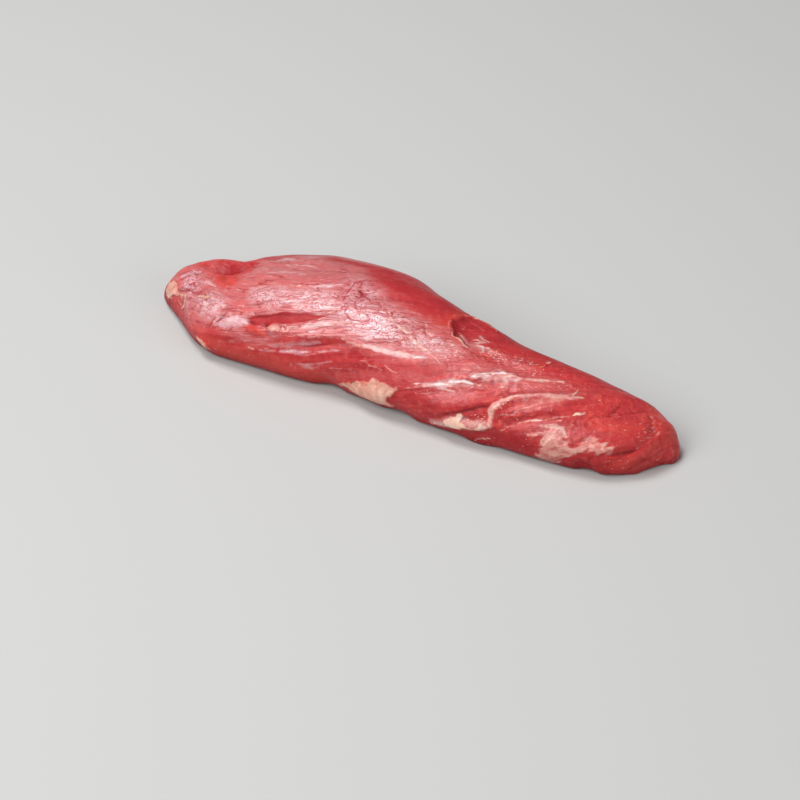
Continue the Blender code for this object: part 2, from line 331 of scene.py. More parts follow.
# %% Main folds and ridges: height, half width and places
MAIN_LINES = {
    "lobe ridge": (0.0015, 0.0055, [(-0.120, 0.0335), (-0.110, 0.0465), (-0.101, 0.0553), (-0.092, 0.0620)]),
    "lobe valley": (-0.0022, 0.0031, [
        (-0.1155, 0.0385), (-0.1080, 0.0436), (-0.0992, 0.0498), (-0.0930, 0.0545), (-0.0895, 0.0635),
    ]),
    "tear": (-0.0010, 0.0042, [
        (-0.076, 0.0303), (-0.066, 0.033), (-0.057, 0.036), (-0.048, 0.039), (-0.034, 0.043),
    ]),
    "second tear": (-0.0008, 0.0045, [(-0.064, 0.021), (-0.045, 0.026), (-0.030, 0.031), (-0.018, 0.0345)]),
    "step by the notch": (-0.0010, 0.0055, [(0.028, 0.056), (0.040, 0.051), (0.060, 0.048), (0.084, 0.052)]),
    "notch edge": (0.0007, 0.0045, [(0.021, 0.078), (0.0275, 0.077), (0.034, 0.072), (0.040, 0.069)]),
    "long ridge": (0.0009, 0.0042, [(0.020, 0.026), (0.0315, 0.032), (0.044, 0.038), (0.058, 0.0435)]),
    "middle groove": (-0.0009, 0.0045, [(0.024, 0.0225), (0.036, 0.0275), (0.048, 0.034), (0.056, 0.038)]),
    "band": (0.0014, 0.0040, [
        (0.057, 0.016), (0.0575, 0.027), (0.066, 0.0335), (0.080, 0.039), (0.092, 0.042),
    ]),
    "lower groove": (-0.0014, 0.0034, [
        (0.038, 0.018), (0.052, 0.0245), (0.064, 0.019), (0.078, 0.027), (0.092, 0.032),
    ]),
    "fat seam": (0.0021, 0.0044, [(0.028, 0.008), (0.037, 0.0125), (0.047, 0.0138), (0.058, 0.0175)]),
    "tail cut": (-0.0004, 0.0026, [(0.107, 0.047), (0.1065, 0.034)]),
    "tail fold": (-0.0011, 0.0028, [(0.110, 0.0155), (0.116, 0.0155), (0.122, 0.0162), (0.1245, 0.0190)]),
    "tail flap": (-0.0005, 0.0034, [(0.122, 0.017), (0.1245, 0.023), (0.1235, 0.030), (0.120, 0.040)]),
    "tail rim": (0.0007, 0.0045, [(0.118, 0.009), (0.128, 0.014), (0.130, 0.024), (0.127, 0.034)]),
    "skin arm": (0.0006, 0.0050, [(0.082, 0.008), (0.087, 0.019), (0.100, 0.017), (0.114, 0.018)]),
    "hollow under the waist": (-0.0020, 0.0090, [(-0.044, 0.004), (-0.031, 0.007), (-0.017, 0.003)]),
    "hollow beside the fat": (-0.0009, 0.0060, [(0.010, 0.007), (0.022, 0.007)]),
    "hollow under the tail": (-0.0020, 0.0055, [(0.097, 0.004), (0.102, 0.0070), (0.107, 0.004)]),
    "hollow at the tip": (-0.0022, 0.0050, [(0.1200, 0.003), (0.1255, 0.0066), (0.1300, 0.004)]),
}
for line in MAIN_LINES.values():
    relief += line_relief(x, g, *line)
print("folds in mm, lowest and highest:", np.round([relief.min() * 1000.0, relief.max() * 1000.0], 2))

# %% Main lumps: height, centre, half length, half width and slope
MAIN_LUMPS = {
    "head lobe": (0.0006, (-0.106, 0.050), 0.018, 0.009, 0.80),
    "head swelling": (0.0024, (-0.0985, 0.0425), 0.0062, 0.0046, 0.25),
    "small swelling": (0.0014, (-0.0905, 0.0470), 0.0036, 0.0036, 0.20),
    "bump in the tear": (0.0022, (-0.0565, 0.0305), 0.0052, 0.0036, 0.25),
    "bump beside it": (0.0012, (-0.0655, 0.0275), 0.0070, 0.0034, 0.05),
    "small bump": (0.0009, (-0.0515, 0.0310), 0.0036, 0.0024, 0.30),
    "fat patch": (0.0018, (-0.004, 0.014), 0.0180, 0.0085, 0.30),
    "fat bit": (0.0012, (-0.094, 0.010), 0.0070, 0.0050, 0.00),
    "far shoulder": (0.0010, (0.000, 0.070), 0.030, 0.014, -0.20),
    "bundle under the band": (0.0009, (0.078, 0.0305), 0.020, 0.0055, 0.45),
    "bundle in the tail": (0.0008, (0.112, 0.024), 0.013, 0.010, 0.30),
}
for lump in MAIN_LUMPS.values():
    relief += lump_relief(x, g, *lump)
print("lumps:", len(MAIN_LUMPS))

# %% The notch: the film-covered shoulder ends in a lip, and the meat beyond it lies lower
NOTCH_DEPTH, NOTCH_LIP, NOTCH_REACH = 0.0017, 0.0006, 0.0120
NOTCH_TATTER = 0.0009  # how much further its edge wanders than the others
NOTCH_LINE = [
    (0.0330, 0.0522), (0.0297, 0.0540), (0.0262, 0.0568), (0.0222, 0.0572), (0.0214, 0.0600),
    (0.0196, 0.0628), (0.0182, 0.0668), (0.0204, 0.0694), (0.0200, 0.0728), (0.0245, 0.0762),
]
torn_x = warp_x + NOTCH_TATTER * layered_noise(x / WARP_SIZE, g / WARP_SIZE, 103)
recess = step_relief(torn_x, warp_g, NOTCH_LIP, NOTCH_REACH, NOTCH_LINE)
relief -= NOTCH_DEPTH * recess
print("main forms in mm, lowest and highest:", np.round([relief.min() * 1000.0, relief.max() * 1000.0], 2))

# %% [markdown]
# ## How a mask is drawn
# What covers the red muscle could be painted by hand. Here each thing is a mask from 0 to 1 over the grid,
# drawn with lines, outlines and round patches in millimetres, so that it can serve twice: it raises the
# surface where there is something on it, and it later tells the material what colour to use there.

# %% Streaks, outlines and patches
MM = 0.001
SWELL, SWELL_LENGTH, SWELL_WIDTH = 0.45, 0.0022, 0.0016  # how uneven a streak's width is, and over what size


def streak_mask(streaks, seed):
    """Each streak's strength on its line, falling softly to 0 beside it, with an uneven half width."""
    swell = 1.0 + SWELL * layered_noise(x / SWELL_LENGTH, g / SWELL_WIDTH, seed)
    mask = np.zeros(x.shape)
    for strength, half_width, places in streaks:
        nearest, share = near_line(warp_x, warp_g, np.array(places) * MM)
        width = half_width * MM * swell * (0.55 + 0.45 * np.sin(np.pi * share))
        mask = np.maximum(mask, strength * (1.0 - smoothstep(0.3, 1.7, nearest / width)))
    return mask


def inside_outline(px, pg, outline):
    """Signed distance to a closed outline: positive inside, found with the even-odd rule."""
    corners = np.array(outline)
    nearest, _ = near_line(px, pg, np.concatenate([corners, corners[:1]]))
    odd = np.zeros(px.shape, bool)
    for (ax, ag), (bx, bg) in zip(corners, np.roll(corners, -1, axis=0)):
        if ag == bg:
            continue
        crosses = ((pg >= ag) != (pg >= bg)) & (px < ax + (pg - ag) * (bx - ax) / (bg - ag))
        odd ^= crosses
    return np.where(odd, nearest, -nearest)


def outline_mask(outline, softness, ragged=0.0, tatter=2.2, stretch=1.0):
    """1 inside a closed outline and 0 outside, with an edge this soft and this ragged.

    The tatters of the edge are this wide, and drawn out along the fibres by the stretch. All are in mm.
    """
    distance = inside_outline(warp_x, warp_g, np.array(outline) * MM)
    distance += ragged * MM * layered_noise(x / (stretch * tatter * MM), fibre / (tatter * MM), 203)
    return smoothstep(-softness * MM, softness * MM, distance)


def patches_mask(patches):
    """The strongest of some round patches: 1 - r^2 inside each ellipse."""
    mask = np.zeros(x.shape)
    for centre, half_length, half_width, slope in patches:
        size = (np.array(centre) * MM, half_length * MM, half_width * MM, slope)
        mask = np.maximum(mask, np.sqrt(lump_relief(warp_x, warp_g, 1.0, *size)))
    return mask


def strongest(start, patches):
    """The highest of a starting mask and some patches, each times its own strength."""
    for *patch, strength in patches:
        start = np.maximum(start, strength * patches_mask([patch]))
    return start


# The far side begins 56 to 74 mm over the back and what lies behind it 82 to 100 mm, and the nearer the tail,
# the sooner, by the slant
FAR_SLANT = 0.10
far_side = smoothstep(0.056, 0.074, g + FAR_SLANT * x)
behind = smoothstep(0.082, 0.100, g + FAR_SLANT * x)
print(f"far side: {100.0 * far_side.mean():.0f} % of the grid, and behind: {100.0 * behind.mean():.0f} %")

# %% [markdown]
# ## Fat
# Trimming leaves lumps of hard fat at the edge and thin streaks of it elsewhere. They could be small meshes
# laid on the meat, but real fat is grown to it, with edges that run out to nothing, so it is a mask. Fat is
# cream and lumpy where it is thick, and pink where it is so thin that the muscle shows through, so a second,
# softer mask keeps how thick it is.

# %% Lumps of fat: strength and outline
FAT_OUTLINES = [
    (1.00, [
        (-22.5, 11), (-21, 12.8), (-13.5, 16.5), (-6.5, 19.8), (-5.3, 21.5), (-3.8, 22.3), (-1.3, 22.3),
        (2.3, 21.7), (5.0, 21.2), (10.8, 22.0), (8.8, 18.7), (5.7, 15.7), (4.2, 11.7), (7.6, 10.4),
        (3, 8.9), (-4, 7.4), (-12, 8.0), (-18, 10.2),
    ]),
    (0.85, [
        (34.8, 13.2), (37.5, 15.7), (39.7, 17.8), (42.8, 19.0), (43.8, 18.0), (41.8, 15.6), (46.0, 14.5),
        (46.2, 12.7), (42.5, 10.8), (38.3, 9.5), (35.5, 9.8),
    ]),
    (0.75, [(50, 13.2), (51.2, 15.7), (52.8, 17.3), (55.5, 17.3), (56.3, 15.8), (53.5, 13.8), (51.3, 12.5)]),
    (0.95, [
        (-132, 11.5), (-129.5, 16.0), (-126, 18.7), (-121.7, 19.9), (-120, 18.2), (-117, 19.6),
        (-112, 22.2), (-112, 20.8), (-117.5, 17.3), (-123.5, 12.6), (-126.7, 9.0), (-129, 7.0),
        (-132, 8.0),
    ]),
]
print("lumps of fat:", len(FAT_OUTLINES))

# %% Streaks of fat: strength, half width in mm and places
FAT_STREAKS = [
    (1.0, 1.8, [(-98, 9.6), (-95, 10.0), (-92, 9.3), (-90, 8.7)]),
    (0.7, 0.7, [(-130, 11.5), (-126.8, 9.7), (-123.2, 11.5)]),
    (0.8, 0.6, [(-118.8, 14.2), (-115.3, 15), (-114, 14.2), (-112.5, 17.2), (-113, 20)]),
    (0.5, 0.5, [(-113.7, 33.7), (-110.2, 36.2), (-107.3, 37.3)]),
    (0.9, 1.0, [(-103.8, 27.6), (-101.5, 29.4), (-98.5, 30.6), (-96, 32.3)]),
    (0.55, 1.2, [(45.5, 13.0), (48.5, 13.3), (51.5, 14.0)]),
    (0.7, 0.8, [(87.2, 40.8), (89.5, 42), (92, 42)]),
    (0.6, 0.6, [(87.2, 42.3), (86.9, 44.5), (87.4, 46.3)]),
    (0.80, 0.9, [(92.0, 32.0), (93.2, 33.2), (94.4, 33.8)]),
    (0.80, 0.7, [(93.6, 33.0), (95.2, 33.2), (96.4, 33.6)]),
    (0.65, 0.5, [(95.4, 33.8), (95.7, 35.4)]),
    (0.8, 0.8, [(21, 59), (22.5, 57.2), (26.5, 56), (29.5, 54.2), (32.3, 52.8)]),
    (0.7, 0.8, [(43.3, 38.2), (46, 39.6), (49.2, 40.7)]),
    (0.6, 0.6, [(-58.5, 54), (-56.5, 55.5), (-54, 57)]),
    (0.6, 0.8, [(20.0, 73.5), (22.3, 76.5), (27.5, 76), (34, 72), (38, 69.5)]),
]
fat = streak_mask(FAT_STREAKS, 201)
thick_fat = smoothstep(0.1, 0.6, fat)
for strength, outline in FAT_OUTLINES:
    fat = np.maximum(fat, strength * outline_mask(outline, softness=1.0, ragged=1.4))
    thick_fat = np.maximum(thick_fat, outline_mask(outline, softness=3.4, ragged=1.6, tatter=3.0))
print(f"fat: {100.0 * fat.mean():.1f} % of the grid")

# %% [markdown]
# ## Tears and cuts
# The film over the back is torn in two long slits that show the bare muscle, and fine creases run between
# the folds. They could be cut out of the mesh, but they are half a millimetre deep, so a groove in the relief
# is enough. Little light comes out of a groove, so its shade is painted into the colour with a mask.

# %% Tears
TEAR_OUTLINE = [
    (-75, 30), (-70, 32.8), (-60, 37.2), (-54, 40.3), (-46, 42.2), (-38, 43), (-33, 43.8), (-38, 41.2),
    (-44, 38), (-50, 35.8), (-54, 34.3), (-59, 33), (-61, 30.8), (-67, 30.2),
]
SECOND_TEAR_OUTLINE = [
    (-60, 20.5), (-50, 26), (-42, 30.5), (-33, 34), (-24, 36), (-20, 34.5), (-27, 31.5), (-36, 28),
    (-46, 24.8), (-54, 22),
]
SECOND_TEAR_STRENGTH = 0.8
tear = outline_mask(TEAR_OUTLINE, softness=0.5)
tear = np.maximum(tear, SECOND_TEAR_STRENGTH * outline_mask(SECOND_TEAR_OUTLINE, softness=0.5))
print(f"tears: {100.0 * tear.mean():.1f} % of the grid")

# %% Cuts: half width in mm, depth in mm, darkness of the painted shade from 0 to 1, and places
CUTS = [
    (0.6, 0.6, 0.8, [(-73, 29.9), (-70, 30.0), (-66, 30.6)]),
    (0.7, 0.7, 0.9, [(-64, 30.9), (-61.5, 31.1), (-59.5, 32.6)]),
    (0.4, 0.4, 0.5, [(-74.2, 29.8), (-69.2, 32.7), (-62.5, 35.5), (-56, 38.2), (-47.7, 40.9), (-39.2, 42.5)]),
    (0.4, 0.4, 0.5, [(-48, 25.4), (-40, 27.4), (-32, 30), (-26, 31.5)]),
    (0.6, 0.4, 0.5, [(-77.3, 35.7), (-72, 38.2), (-67.3, 41.2), (-62.8, 44)]),
    (0.5, 0.3, 0.3, [(-77.8, 40.2), (-74.5, 45.8), (-70.3, 49.7), (-64, 53)]),
    (0.4, 0.5, 0.7, [(-87.3, 23.2), (-85.3, 27), (-82.7, 30.8)]),
    (0.4, 0.4, 0.5, [(-91, 19.7), (-88.8, 24.2), (-87.5, 26.5)]),
    (0.4, 0.4, 0.6, [(-120.8, 18.8), (-117.3, 20.2), (-111.5, 25), (-108.7, 29.8), (-108.3, 33.2)]),
    (0.4, 0.4, 0.5, [(-122.2, 21.2), (-121.3, 23.3), (-118.2, 28.5), (-114.2, 32.5)]),
    (0.7, 0.5, 0.6, [(-108, 43.6), (-99.2, 49.8), (-93.4, 54.0), (-91.0, 57.5), (-90, 61)]),
    (0.9, 0.5, 0.6, [(-29.3, 64.3), (-26.3, 62.2), (-24, 59.3)]),
    (0.4, 0.4, 0.6, [(-20.3, 37), (-11.2, 37.2), (-3, 39.7), (2.8, 42.8), (6.2, 47.5)]),
    (0.4, 0.4, 0.6, [(-11.8, 38.7), (-3.5, 41), (3.7, 45.2)]),
    (0.3, 0.3, 0.5, [(-40.5, 36.7), (-31.8, 38.3), (-23.7, 40.5)]),
    (0.3, 0.3, 0.4, [(-41.5, 39.2), (-32, 42.7), (-25.2, 43.8)]),
    (0.5, 0.3, 0.4, [(8, 57), (12, 52), (16, 50)]),
    (0.4, 0.4, 0.8, [(28, 57), (30, 55.2), (32.5, 53.8)]),
    (0.6, 0.5, 0.6, [(31.2, 14.7), (37.3, 17.7), (43.7, 20.2), (48.7, 22.7)]),
    (0.7, 0.6, 0.7, [(38.8, 18.2), (44.7, 20.8), (49.3, 23.7), (53.8, 25.5), (55.5, 27.7)]),
    (0.5, 0.4, 0.4, [(12, 21.6), (18, 23.6), (24, 26.2), (30, 28.4)]),
    (0.6, 0.4, 0.7, [(107.1, 45.7), (106.8, 42.2), (106.4, 38.8), (106.2, 35.6)]),
    (0.5, 0.4, 0.4, [(119.4, 39.4), (122.0, 34.0), (124.3, 28.0), (125.5, 22.0), (124.8, 17.4)]),
    (0.8, 0.6, 0.9, [(112.3, 14.8), (116.8, 15), (120.3, 15.1), (123.4, 16.3)]),
    (0.6, 0.2, 0.15, [(124.5, 18.8), (124.3, 23.7), (123.3, 29.7), (121.5, 35.7)]),
    (0.5, 0.4, 0.5, [(106.0, 14.3), (105.0, 10.5), (105.3, 6.5)]),
    (0.5, 0.4, 0.4, [(124.2, 12.7), (125.8, 9.5), (126.7, 6.0)]),
    (0.5, 0.4, 0.5, [(80.5, 26.4), (85, 28.8), (91, 30.9)]),
    (0.5, 0.3, 0.5, [(60, 22), (66.5, 26), (73, 30)]),
    (0.8, 0.4, 0.5, [(97, 19.3), (100, 20.6), (102, 22.5)]),
]
# Painted shade in the grooves: under the notch's lip it is this dark and reaches this far, and each cut has a
# darkness of its own
NOTCH_DARKNESS, NOTCH_SHADOW = 0.78, 0.0040  # how dark it is under the notch's lip, and how far that reaches
groove_shade = NOTCH_DARKNESS * step_relief(torn_x, warp_g, NOTCH_LIP, NOTCH_SHADOW, NOTCH_LINE)
cut_relief = np.zeros(x.shape)
for half_width, depth, darkness, places in CUTS:
    nearest, share = near_line(warp_x, warp_g, np.array(places) * MM)
    width = half_width * MM * (0.55 + 0.45 * np.sin(np.pi * share))
    taper = np.sqrt(np.sin(np.pi * share))
    groove = np.clip(1.0 - (nearest / (2.2 * width)) ** 2, 0.0, 1.0) ** 2
    cut_relief = np.minimum(cut_relief, -depth * MM * groove * taper)
    groove_shade = np.maximum(groove_shade, darkness * taper * (1.0 - smoothstep(0.3, 1.8, nearest / width)))
print(f"deep places: {100.0 * groove_shade.mean():.1f} % of the grid")

# %% [markdown]
# ## Silverskin
# Silverskin is a tough pale sheet of tendon. The knife leaves one patch of it near the tail, a rope that
# curls up over the right half, and shreds. A sheet of its own could be laid over the meat, but what the knife
# leaves clings to it everywhere, so it is a mask like the fat, and lies under it.

# %% Patch and shreds of silverskin
SKIN_OUTLINE = [
    (80, 4), (80.8, 10), (81.2, 14.7), (82, 19.8), (84.7, 21.7), (89, 23), (92.5, 19.3), (97, 17.2),
    (102.3, 22.3), (106, 22.3), (111.2, 19.7), (114.2, 18.3), (115, 15.2), (110.2, 15), (104.8, 16.5),
    (99.8, 14.7), (95.2, 10.7), (90.8, 6.8), (85, 3.5),
]
# strength, half width in mm and places
SKIN_STREAKS = [
    (0.95, 1.5, [(56.5, 16.7), (56.3, 20.5), (56, 24.2), (57.2, 27.2), (59.5, 29.2), (62.7, 31.3)]),
    (0.38, 2.8, [(56.5, 18), (57, 25.3), (59.5, 30), (65.8, 33.5), (73.2, 36.3), (80.3, 39.2)]),
    (0.60, 0.8, [(62.7, 31.3), (65.8, 33.8), (69.7, 35.8), (74.2, 37.5)]),
    (0.45, 1.7, [(74.8, 36.2), (77.8, 37.5), (81.5, 38.7), (85.3, 41.7), (88.2, 45.0)]),
    (0.45, 1.0, [(78.2, 34.7), (82.3, 37.2), (86.2, 39.8), (90.2, 41.5)]),
    (0.45, 1.8, [(45, 13.6), (51.3, 14.8), (56.3, 16.2)]),
    (0.50, 0.6, [(60.2, 22.8), (63.5, 23.8), (66.2, 25.2), (68.5, 27.5), (70.8, 29.8), (76.5, 33.5)]),
    (0.35, 2.4, [(74, 34), (79, 37), (84, 39.5)]),
    (0.60, 0.5, [(69, 21.2), (72.2, 23.2), (75, 24.7), (77.3, 25.2), (80.3, 26)]),
    (0.45, 0.5, [(61.8, 16), (64.8, 17.8), (67.8, 19.7)]),
    (0.80, 0.7, [(75, 24.6), (77.3, 25.2), (79.8, 25.9)]),
    (0.50, 0.5, [(80.2, 26), (84.8, 29.2), (90.7, 31.3)]),
    (0.50, 1.8, [(80.8, 23), (83.8, 23.7), (86.8, 23.8), (89.7, 23.5), (89.7, 21.8)]),
    (0.70, 1.0, [(82.3, 16.3), (83.7, 18.8), (85, 21.3), (86.5, 21.8)]),
    (0.60, 0.9, [(75.3, 17.2), (78.8, 18.3), (81.7, 20)]),
    (0.50, 0.6, [(88.3, 21), (91, 21), (93.3, 20.8)]),
    (0.30, 0.8, [(20, 25.5), (25, 27.3), (29.5, 29.5)]),
    (0.30, 0.8, [(29.5, 29.5), (33.8, 32), (38.8, 32.9), (43.7, 34)]),
    (0.30, 0.8, [(39.5, 35.2), (43.3, 38.2), (49.2, 40.7), (55.2, 42.2), (60, 43.7)]),
    (0.60, 0.9, [(64.5, 43.7), (68.8, 45.5), (73.3, 46.8), (79.3, 48.5)]),
    (0.60, 0.5, [(30, 28.4), (34, 28.0), (37, 28.6)]),
    (0.60, 0.6, [(44, 34.5), (48, 34.3)]),
    (0.80, 0.8, [(55.5, 36), (57, 36.5)]),
    (0.65, 0.6, [(31.5, 59), (34, 60), (36.7, 59)]),
    (0.60, 0.7, [(31.7, 56), (34.5, 56.3), (37.7, 58.5)]),
    (0.30, 1.5, [(34, 55), (37, 54), (40, 51), (42, 48)]),
    (0.60, 0.4, [(23.2, 65.2), (25.2, 65)]),
    (0.55, 0.6, [(20.8, 73.5), (22.3, 77.5), (27.5, 76.5), (34, 72), (38, 69.5)]),
    (0.50, 0.5, [(17.5, 70), (17.2, 66), (18.5, 61.5), (20.5, 57.5)]),
    (0.60, 0.4, [(23.3, 61.3), (26.5, 60.3)]),
    (0.70, 0.7, [(67, 58.3), (68.5, 59.3)]),
    (0.60, 0.6, [(77.5, 49), (81.2, 50.2)]),
    (0.50, 0.5, [(54.8, 49), (58, 50.3), (61.3, 50.3)]),
    (0.80, 0.5, [(-52.5, 33.8), (-50.2, 33.2), (-50.2, 31.5), (-51.6, 30.6)]),
    (0.85, 1.6, [(-59, 30.8), (-56.5, 31.6), (-54, 31.4)]),
    (0.50, 1.4, [(-50, 34), (-43, 36), (-37.3, 38.4), (-30.3, 41.3), (-24, 43)]),
    (0.45, 1.0, [(-45, 31.5), (-38.7, 32.5), (-29.8, 34.5), (-20.8, 35.5)]),
    (0.55, 1.2, [(-20.8, 34.5), (-11.7, 35), (-2.8, 36.2), (4.3, 37.2), (11.5, 38.5)]),
    (0.80, 0.6, [
        (-6.8, 53.0), (-0.7, 50.0), (5.2, 48.1), (11.0, 45.3), (18.5, 43.3), (22.5, 41.2), (26, 39),
    ]),
    (0.70, 0.5, [(-2.2, 54.7), (0.3, 51.7), (4.2, 48.8)]),
    (0.80, 0.6, [(49.0, 4.6), (50.4, 6.6), (53.0, 8.0), (58.0, 9.4)]),
    (0.60, 0.7, [(-69, 18.2), (-67.0, 18.6), (-65.5, 18.5)]),
    (0.48, 0.5, [(-13, 26.8), (-12.2, 28.3), (-9.7, 28.6), (-6.7, 27.2), (-3.2, 27.5), (-0.5, 27.2)]),
    (0.48, 0.5, [(0.5, 29.8), (3.3, 29), (7, 29), (9, 29.3)]),
    (0.45, 0.4, [(-27.5, 19), (-18.8, 21.8)]),
    (0.38, 0.6, [(10.3, 21.7), (18.7, 25.3), (24.2, 27.5)]),
    (0.42, 0.5, [(19.3, 22.3), (22.7, 23.2), (26.7, 24)]),
    (0.32, 0.8, [(-60, 92), (-42, 98), (-20, 103), (0, 104)]),
    (0.30, 0.6, [(-30, 94), (-16, 97), (-2, 100)]),
    (0.34, 0.8, [(26, 84), (48, 82), (74, 80)]),
    (0.30, 0.6, [(56, 74), (70, 75), (88, 74)]),
]
SKIN_STRENGTH = 0.60
skin = SKIN_STRENGTH * outline_mask(SKIN_OUTLINE, softness=1.4, ragged=2.4, tatter=1.8, stretch=2.0)
skin = np.maximum(skin, streak_mask(SKIN_STREAKS, 202)) * (1.0 - fat)
print(f"silverskin: {100.0 * skin.mean():.1f} % of the grid")

# %% [markdown]
# ## Film
# Film is a thin wet skin that turns the red to a lilac pink and catches the light. It could be a second
# shader mixed in, but one wet shader with a change of colour, bumps and wetness looks the same and is
# simpler. The main sheet covers the left half of the back, thinner film lies beyond it, and it has come off
# the swellings. Its edge is tattered, drawn out along the fibres.

# %% The main sheet, and where it is thickest, with the brightest painted sheen
FILM_OUTLINE = [
    (-125, 18), (-118, 34), (-106, 42), (-90, 46), (-84, 66), (-62, 84), (-38, 82), (-28, 74), (-14, 64),
    (0, 60), (10, 60), (18, 58), (30, 54), (38, 47), (26, 40), (10, 38), (-10, 34), (-30, 33), (-50, 31),
    (-62, 22), (-78, 20), (-90, 22), (-105, 21), (-116, 17),
]
# centre, half length, half width and slope
FILM_CORES = [
    ((-42, 50), 17, 9, 0.15),
    ((-14, 46), 22, 9, 0.10),
    ((14, 47), 18, 7, 0.10),
    ((-66, 45), 14, 8, 0.30),
    ((36, 56), 9, 5, -0.20),
    ((-114, 28), 9, 5, 0.90),
    ((-95, 29), 14, 8, 0.45),
]
print("corners of the main sheet:", len(FILM_OUTLINE), "and thick places:", len(FILM_CORES))

# %% Thinner film and bare swellings
# centre, half length, half width, slope and strength
THIN_FILM = [
    ((58, 42), 44, 11, 0.10, 0.65),
    ((24, 50), 20, 10, -0.20, 0.70),
    ((-102, 28), 24, 16, 0.50, 0.95),
    ((84, 22), 26, 7, 0.10, 0.45),
    ((36, 26), 16, 6, 0.30, 0.55),
    ((54, 52), 18, 6, -0.05, 0.50),
    ((76, 33), 16, 6, 0.50, 0.55),
    ((0, 24), 46, 7, 0.20, 0.34),
    ((-106, 48), 14, 6, 0.90, 0.65),
    ((-30, 98), 58, 14, 0.08, 0.75),
    ((58, 80), 44, 10, -0.05, 0.65),
]
# the same without a strength, for swellings where the film has come off
BARE = [
    ((-96.5, 43.5), 11, 6.5, 0.30),
    ((-66, 27.5), 9, 4, 0.05),
    ((-95, 53), 10, 4, 0.90),
    ((-103, 54), 15, 3.5, 0.90),
]
main_sheet = outline_mask(FILM_OUTLINE, softness=7.0, ragged=4.0, tatter=2.4, stretch=5.0)
film = strongest(main_sheet, THIN_FILM)
film *= 1.0 - 0.8 * patches_mask(BARE)
film *= (1.0 - tear) * (1.0 - fat) * (1.0 - groove_shade)
crackled_film = film * patches_mask(FILM_CORES)
print(f"film: {100.0 * film.mean():.1f} % of the grid, thick on {100.0 * crackled_film.mean():.1f} %")
